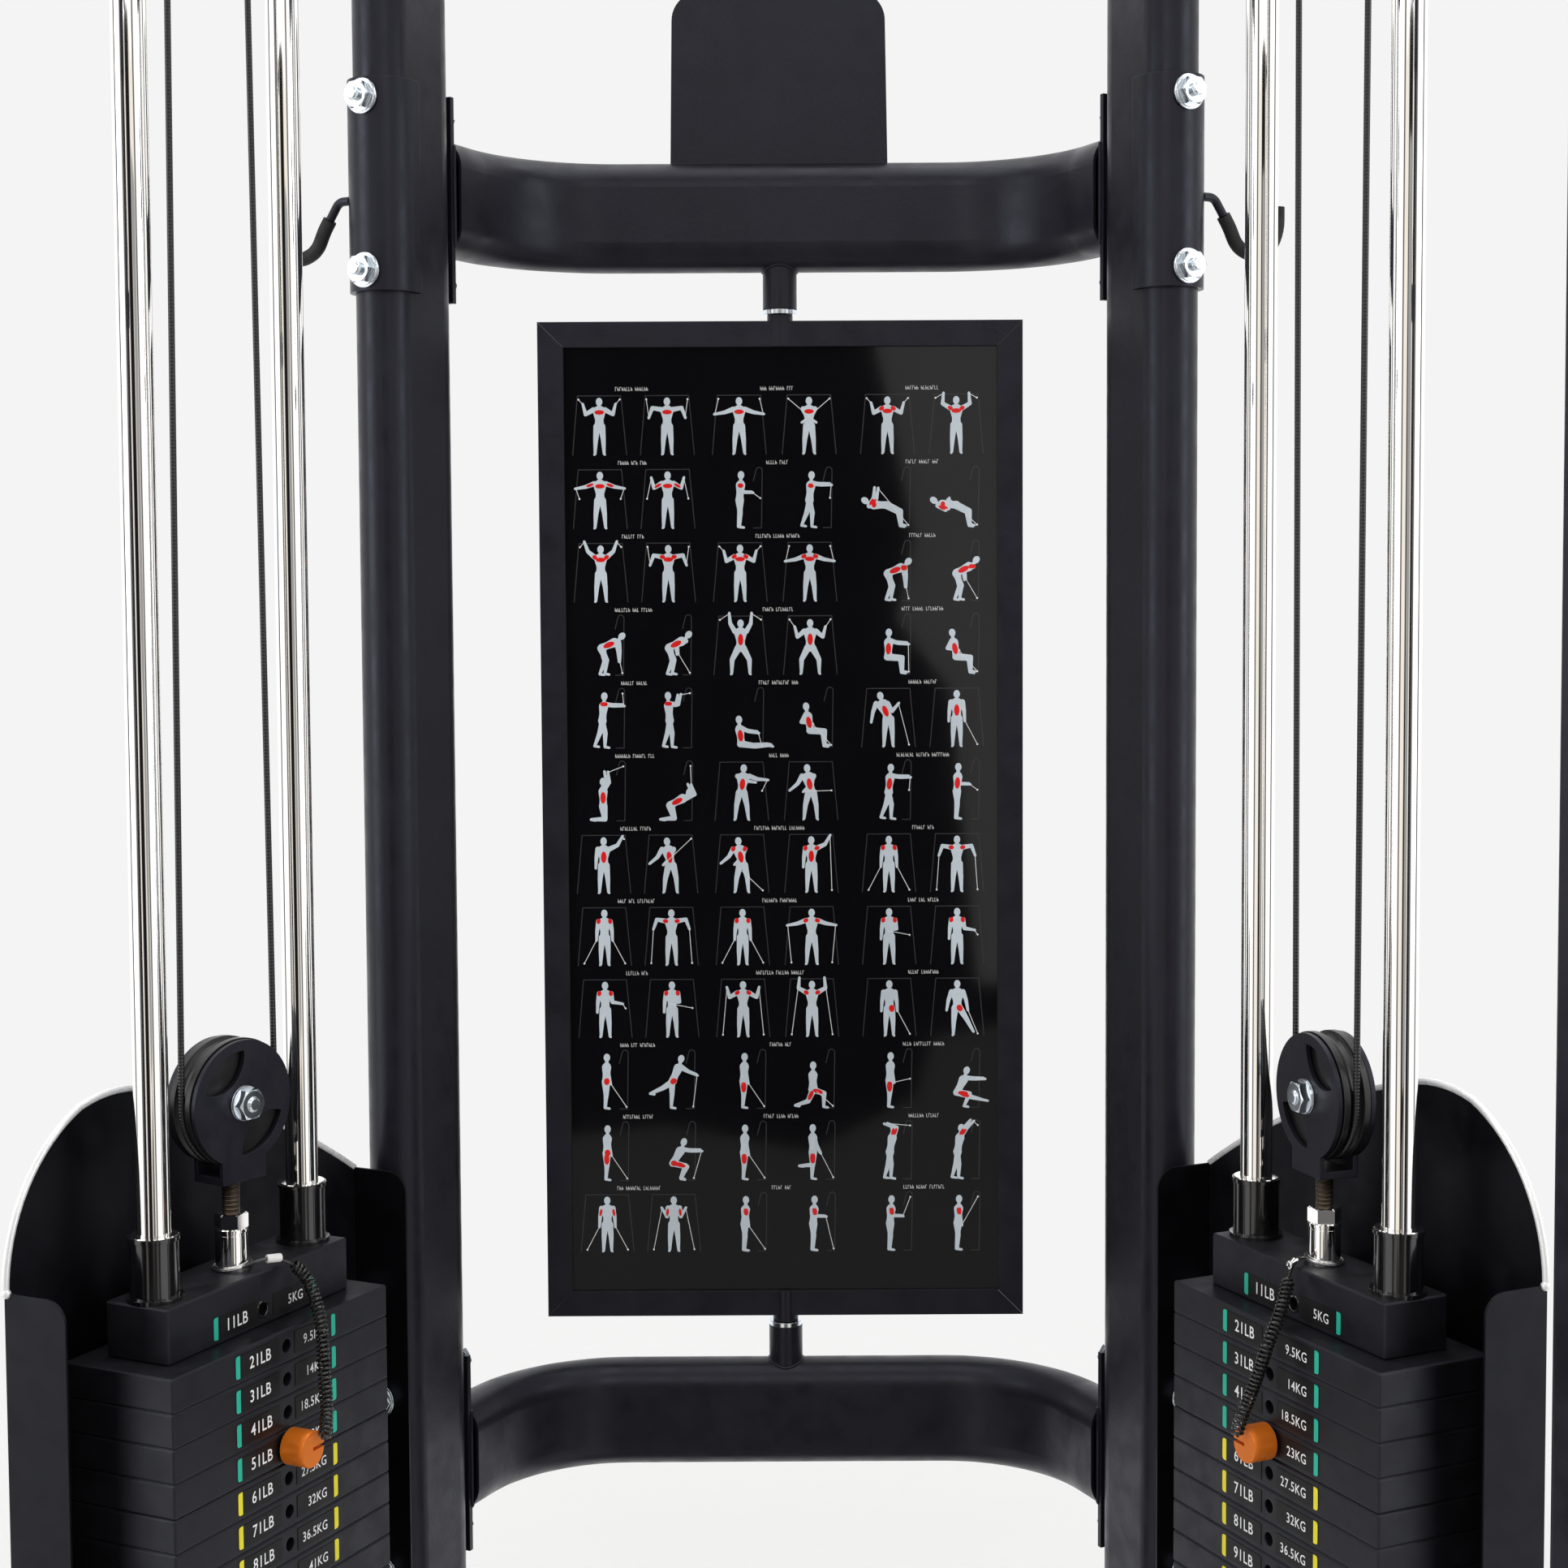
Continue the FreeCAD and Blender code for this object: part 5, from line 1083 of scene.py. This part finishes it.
def strap(hand):
    """Webbing loop from the snap hook through the grip, with its bar-tacked seam."""
    apex, foot, wide = EYE_Z - 0.0587 + 0.0042, GRIP_Z, 0.0725
    q = CABLE_Q
    corners = [(q, apex + 0.0015), (q + 0.013, apex - 0.004), (q + wide, foot + 0.018), (q + wide, foot),
               (q - wide, foot), (q - wide, foot + 0.018), (q - 0.013, apex - 0.004)]
    path = corner_path(corners, (0.006, 0.006, 0.008, 0.006, 0.006, 0.008, 0.006))
    band = [(*ribbon(path, 0.0125, 0.0028), 0)]
    seam = []
    for side in (-1, 1):
        a, b = Vector((q + side * 0.018, apex - 0.0085)), Vector((q + side * wide, foot + 0.020))
        ahead = (b - a).normalized()
        out = Vector((ahead.y, -ahead.x)) * (-side)
        for edge in (-0.0095, 0.0095, 0.0):
            for n in range(14):
                spot = a + ahead * (0.002 + n * 0.0022)
                low = Vector((HANG_T + edge, spot.x, spot.y)) + Vector((0, out.x, out.y)) * 0.0014
                end = low + Vector((0.0, ahead.x, ahead.y)) * 0.0015
                seam.append((*tube([low, end], 0.00035, 6), 1))
        for n in range(7):
            spot = a + ahead * 0.034 + out * 0.0024
            low = Vector((HANG_T - 0.0095 + n * 0.0029, spot.x, spot.y)) - Vector((0, out.x, out.y)) * 0.0010
            seam.append((*tube([low, low + Vector((0.0019, 0, 0))], 0.00035, 6), 1))
    make("strap_" + hand, band + seam, [WEBBING, CORD], "handle_" + hand, hand)


def grip(hand):
    """Foam tube with moulded end flanges, closed round the webbing."""
    half = 0.065
    swell = [(0.0152 + 0.0010 * math.cos(math.pi * x / half / 2), x)
             for x in np.linspace(-half + 0.003, half - 0.003, 25)]
    foam = lathe([(0.0134, -half + 0.002), (0.0148, -half + 0.002), *swell, (0.0148, half - 0.002),
                  (0.0134, half - 0.002)], 40)
    stand = along((HANG_T, CABLE_Q, GRIP_Z), (0, 1, 0))
    parts = [(*moved(foam, stand), 0)]
    ring = lathe([(0.0132, 0.0), (0.0172, 0.0), (0.0178, 0.0008), (0.0178, 0.0024), (0.0170, 0.0034),
                  (0.0132, 0.0034)], 40)
    for side in (-1, 1):
        spot = (HANG_T, CABLE_Q + side * (half - 0.0030), GRIP_Z)
        parts.append((*moved(ring, along(spot, (0, side, 0))), 1))
    piece = make("grip_" + hand, parts, [FOAM, NYLON], "handle_" + hand, hand)


def cable_tail(hand):
    """Rubber stop ball in two moulded halves, its ferrule, and the eye."""
    ball = half_round(0.0139, 25)
    ball[12] = (0.0134, 0.0)
    spot = Matrix.Translation((HANG_T, CABLE_Q, BALL_Z - 0.0001))
    neck = lathe([(0, -0.0200), (0.0042, -0.0200), (0.0056, -0.0185), (0.0056, -0.0140), (0.0062, -0.0130),
                  (0.0062, -0.0120), (0, -0.0110)], 24)
    eye = [(HANG_T, CABLE_Q + 0.008 * math.cos(a), EYE_Z + 0.008 * math.sin(a))
           for a in np.linspace(0, 2 * math.pi, 33)[:-1]]
    parts = [(*moved(lathe(ball, 36), spot), 0), (*moved(neck, spot), 1),
             (*tube(eye, 0.0025, 12, closed=True), 1)]
    piece = make("cable_tail_" + hand, parts, [RUBBER, ZINC], "cable_end_" + hand, hand)
    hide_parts("cable_end_" + hand)


for each in HANDS:
    snap_hook(each)
    strap(each)
    grip(each)
    cable_tail(each)


# ---------------------------------------------------------------- frame details

def weld(path, radius, pitch):
    """Bead of overlapping ripples along a line."""
    path = [Vector(p) for p in path]
    lengths = run_lengths(path)
    steps = round(float(lengths[-1]) / (pitch / 3))
    points, radii = [], []
    for step in range(steps + 1):
        at = lengths[-1] * step / steps
        points.append(place_on(path, lengths, at)[0])
        radii.append(radius * (0.86 + 0.14 * abs(math.sin(math.pi * at / pitch))))
    return tube(points, radii, 8)


def stadium(half_wide, radius, steps=12):
    """Outline of a flat oval, its round ends at plus and minus x."""
    turns = [math.pi * k / steps - math.pi / 2 for k in range(steps + 1)]
    right = [(half_wide - radius + radius * math.cos(a), radius * math.sin(a)) for a in turns]
    return right + [(-x, -y) for x, y in right]


def rail_caps(hand):
    """Moulded plugs in the floor rails' ends."""
    parts = []
    for t, ahead in ((-0.400, -1), (0.640, 1)):
        stand = along((t, 0.0855, 0.0454), (ahead, 0, 0))
        parts += [moved(slab(stadium(BAR_DEEP, BAR_HALF), -0.0004, 0.0022), stand),
                  moved(slab(stadium(0.0480, 0.0226), 0.0022, 0.0032), stand)]
    make("rail_caps_" + hand, parts, [NYLON], "root", hand)


def mitres():
    """Fine joint lines across the placard frame's corners."""
    parts = []
    for x in (-1, 1):
        for z_out, z_in in ((1.426, 1.402), (0.476, 0.500)):
            for y in (0.4579, 0.4781):
                parts.append(tube([(x * 0.2285, y, z_out), (x * 0.2045, y, z_in)], 0.0003, 6))
    make("placard_mitres", parts, [CORD], "placard")


def bar_welds(hand):
    """Beads round the crossbars' ends, where they meet the narrower bolted plates."""
    outline = stadium(BAR_DEEP, BAR_HALF)
    parts = []
    for level in (UPPER_BAR, LOWER_BAR):
        around = [(PLATE_FACE, FRAME_Q + max(-PLATE_HALF, min(PLATE_HALF, b)), level + a)
                  for a, b in outline + outline[:1]]
        parts.append(weld(around, 0.0022, 0.0042))
    make("bar_welds_" + hand, parts, [POWDER], "root", hand)


def pivot_welds():
    """Beads round the pivot sockets, on the crossbars' rounded undersides and tops."""
    parts = []
    for level, way in ((UPPER_BAR, -1), (LOWER_BAR, 1)):
        around = []
        for a in np.linspace(0, 2 * math.pi, 49):
            off = SOCKET_RADIUS * math.sin(a)
            drop = BAR_DEEP - BAR_HALF + math.sqrt(BAR_HALF ** 2 - off ** 2)
            around.append((SOCKET_RADIUS * math.cos(a), BAR_Y + off, level + way * drop))
        parts.append(weld(around, 0.0017, 0.0034))
    make("pivot_welds", parts, [POWDER], "root")


for each in HANDS:
    rail_caps(each)
    bar_welds(each)
mitres()
pivot_welds()


# ---------------------------------------------------------------- lights and stage

# Studio round the horizon, from behind the camera (0) by the left, the machine's back and the right to 1
DARK, GREY, CREAM, WHITE = (0.010, 0.010, 0.013), (0.10, 0.10, 0.11), (0.94, 0.885, 0.80), (1.10, 1.10, 1.10)
BACKDROP = (0.905, 0.905, 0.905, 1)
ROUND = [(0.0, DARK), (0.026, DARK), (0.040, CREAM), (0.092, CREAM), (0.100, GREY), (0.116, GREY),
         (0.124, WHITE), (0.232, WHITE), (0.240, GREY), (0.262, GREY), (0.270, WHITE), (0.730, WHITE),
         (0.738, GREY), (0.760, GREY), (0.768, WHITE), (0.876, WHITE), (0.884, GREY), (0.900, GREY),
         (0.908, CREAM), (0.960, CREAM), (0.974, DARK), (1.0, DARK)]


def world():
    """Plain pale backdrop to the camera; to the rest, a studio of pale and dark panels round the horizon."""
    sky = bpy.data.worlds.new("studio")
    bpy.context.scene.world = sky
    sky.use_nodes = True
    nodes, links = sky.node_tree.nodes, sky.node_tree.links
    nodes.clear()
    out = nodes.new("ShaderNodeOutputWorld")
    seen = settle(nodes.new("ShaderNodeBackground"), Color=BACKDROP)
    lit = settle(nodes.new("ShaderNodeBackground"), Strength=1.0)
    mix = nodes.new("ShaderNodeMixShader")
    links.new(nodes.new("ShaderNodeLightPath").outputs["Is Camera Ray"], mix.inputs["Fac"])
    links.new(lit.outputs[0], mix.inputs[1])
    links.new(seen.outputs[0], mix.inputs[2])
    links.new(mix.outputs[0], out.inputs["Surface"])
    where = nodes.new("ShaderNodeSeparateXYZ")
    links.new(nodes.new("ShaderNodeTexCoord").outputs["Generated"], where.inputs[0])
    angle = nodes.new("ShaderNodeMath")
    angle.operation = "ARCTAN2"
    links.new(where.outputs["X"], angle.inputs[0])
    links.new(where.outputs["Y"], angle.inputs[1])
    share = settle(nodes.new("ShaderNodeMapRange"), From_Min=-math.pi, From_Max=math.pi)
    links.new(angle.outputs[0], share.inputs["Value"])
    ramp = nodes.new("ShaderNodeValToRGB")
    stops = ramp.color_ramp.elements
    for k, (position, color) in enumerate(ROUND[:1] + ROUND[-1:] + ROUND[1:-1]):
        stop = stops[k] if k < 2 else stops.new(position)
        stop.position = position
        stop.color = (*color, 1)
    links.new(share.outputs["Result"], ramp.inputs["Fac"])
    links.new(ramp.outputs["Color"], lit.inputs["Color"])


world()


def softbox(name, place, target, wide, tall, power):
    """A rectangular lamp turned toward a target."""
    data = bpy.data.lights.new(name, "AREA")
    data.shape = "RECTANGLE"
    data.size = wide
    data.size_y = tall
    data.energy = power
    lamp = bpy.data.objects.new(name, data)
    lamp.location = place
    lamp.rotation_euler = (Vector(target) - Vector(place)).to_track_quat("-Z", "Y").to_euler()
    bpy.context.scene.collection.objects.link(lamp)


softbox("key_left", (-2.6, -0.9, 1.7), (0, 0.1, 1.0), 1.0, 2.6, 20.0)
softbox("key_right", (2.6, -0.9, 1.7), (0, 0.1, 1.0), 1.0, 2.6, 17.0)
softbox("top", (0.0, 0.2, 3.6), (0, 0, 0), 3.0, 2.4, 30.0)
softbox("front", (0.0, -3.2, 3.1), (0, 0.3, 0.9), 3.0, 1.6, 24.0)


def card(name, outline, strength):
    """A grey card behind the camera, its outline in x and z: a soft reflection in the chart's acrylic."""
    mat = graph(name, Base_Color=(0, 0, 0, 1), Emission_Color=(1, 1, 1, 1), Emission_Strength=strength)[0]
    stand = Matrix(((1, 0, 0, 0), (0, 0, -1, -2.6), (0, 1, 0, 0), (0, 0, 0, 1)))
    sheet = make(name, [moved(slab(outline, 0, 0.01), stand)], [mat], None)
    sheet.visible_camera = False
    sheet.visible_diffuse = False


def floor():
    """Pale floor that fades into the backdrop."""
    mat, nodes, links, shader = graph("floor", Base_Color=(0.80, 0.80, 0.80, 1), Roughness=0.9,
                                      Emission_Color=(1, 1, 1, 1), Emission_Strength=0.04)
    clear = nodes.new("ShaderNodeBsdfTransparent")
    mix = nodes.new("ShaderNodeMixShader")
    length = nodes.new("ShaderNodeVectorMath")
    length.operation = "LENGTH"
    links.new(nodes.new("ShaderNodeTexCoord").outputs["Object"], length.inputs[0])
    fade = ranged(nodes, links, length.outputs["Value"], 0, 1, 0.5, 2.35)
    links.new(fade, mix.inputs["Fac"])
    links.new(shader.outputs[0], mix.inputs[1])
    links.new(clear.outputs[0], mix.inputs[2])
    links.new(mix.outputs[0], nodes["Material Output"].inputs["Surface"])
    outline = [(2.4 * math.cos(a), 2.4 * math.sin(a)) for a in np.linspace(0, 2 * math.pi, 97)[:-1]]
    disc = make("floor", [slab(outline, -0.01, 0.0)], [mat], None)
    disc.visible_glossy = False


floor()
card("grey_card_high", [(0.12, 1.95), (0.20, 1.62), (0.26, 1.30), (0.22, 1.12), (0.34, 0.96), (0.40, 0.30),
                        (1.10, 0.30), (1.10, 1.95)], 0.30)
card("grey_card_low", [(-0.60, -0.05), (-0.30, -0.02), (0.02, -0.08), (0.26, 0.04), (0.30, 0.18),
                       (0.90, 0.28), (0.90, -0.60), (-0.60, -0.60)], 0.10)
bpy.context.scene.view_settings.view_transform = "Standard"
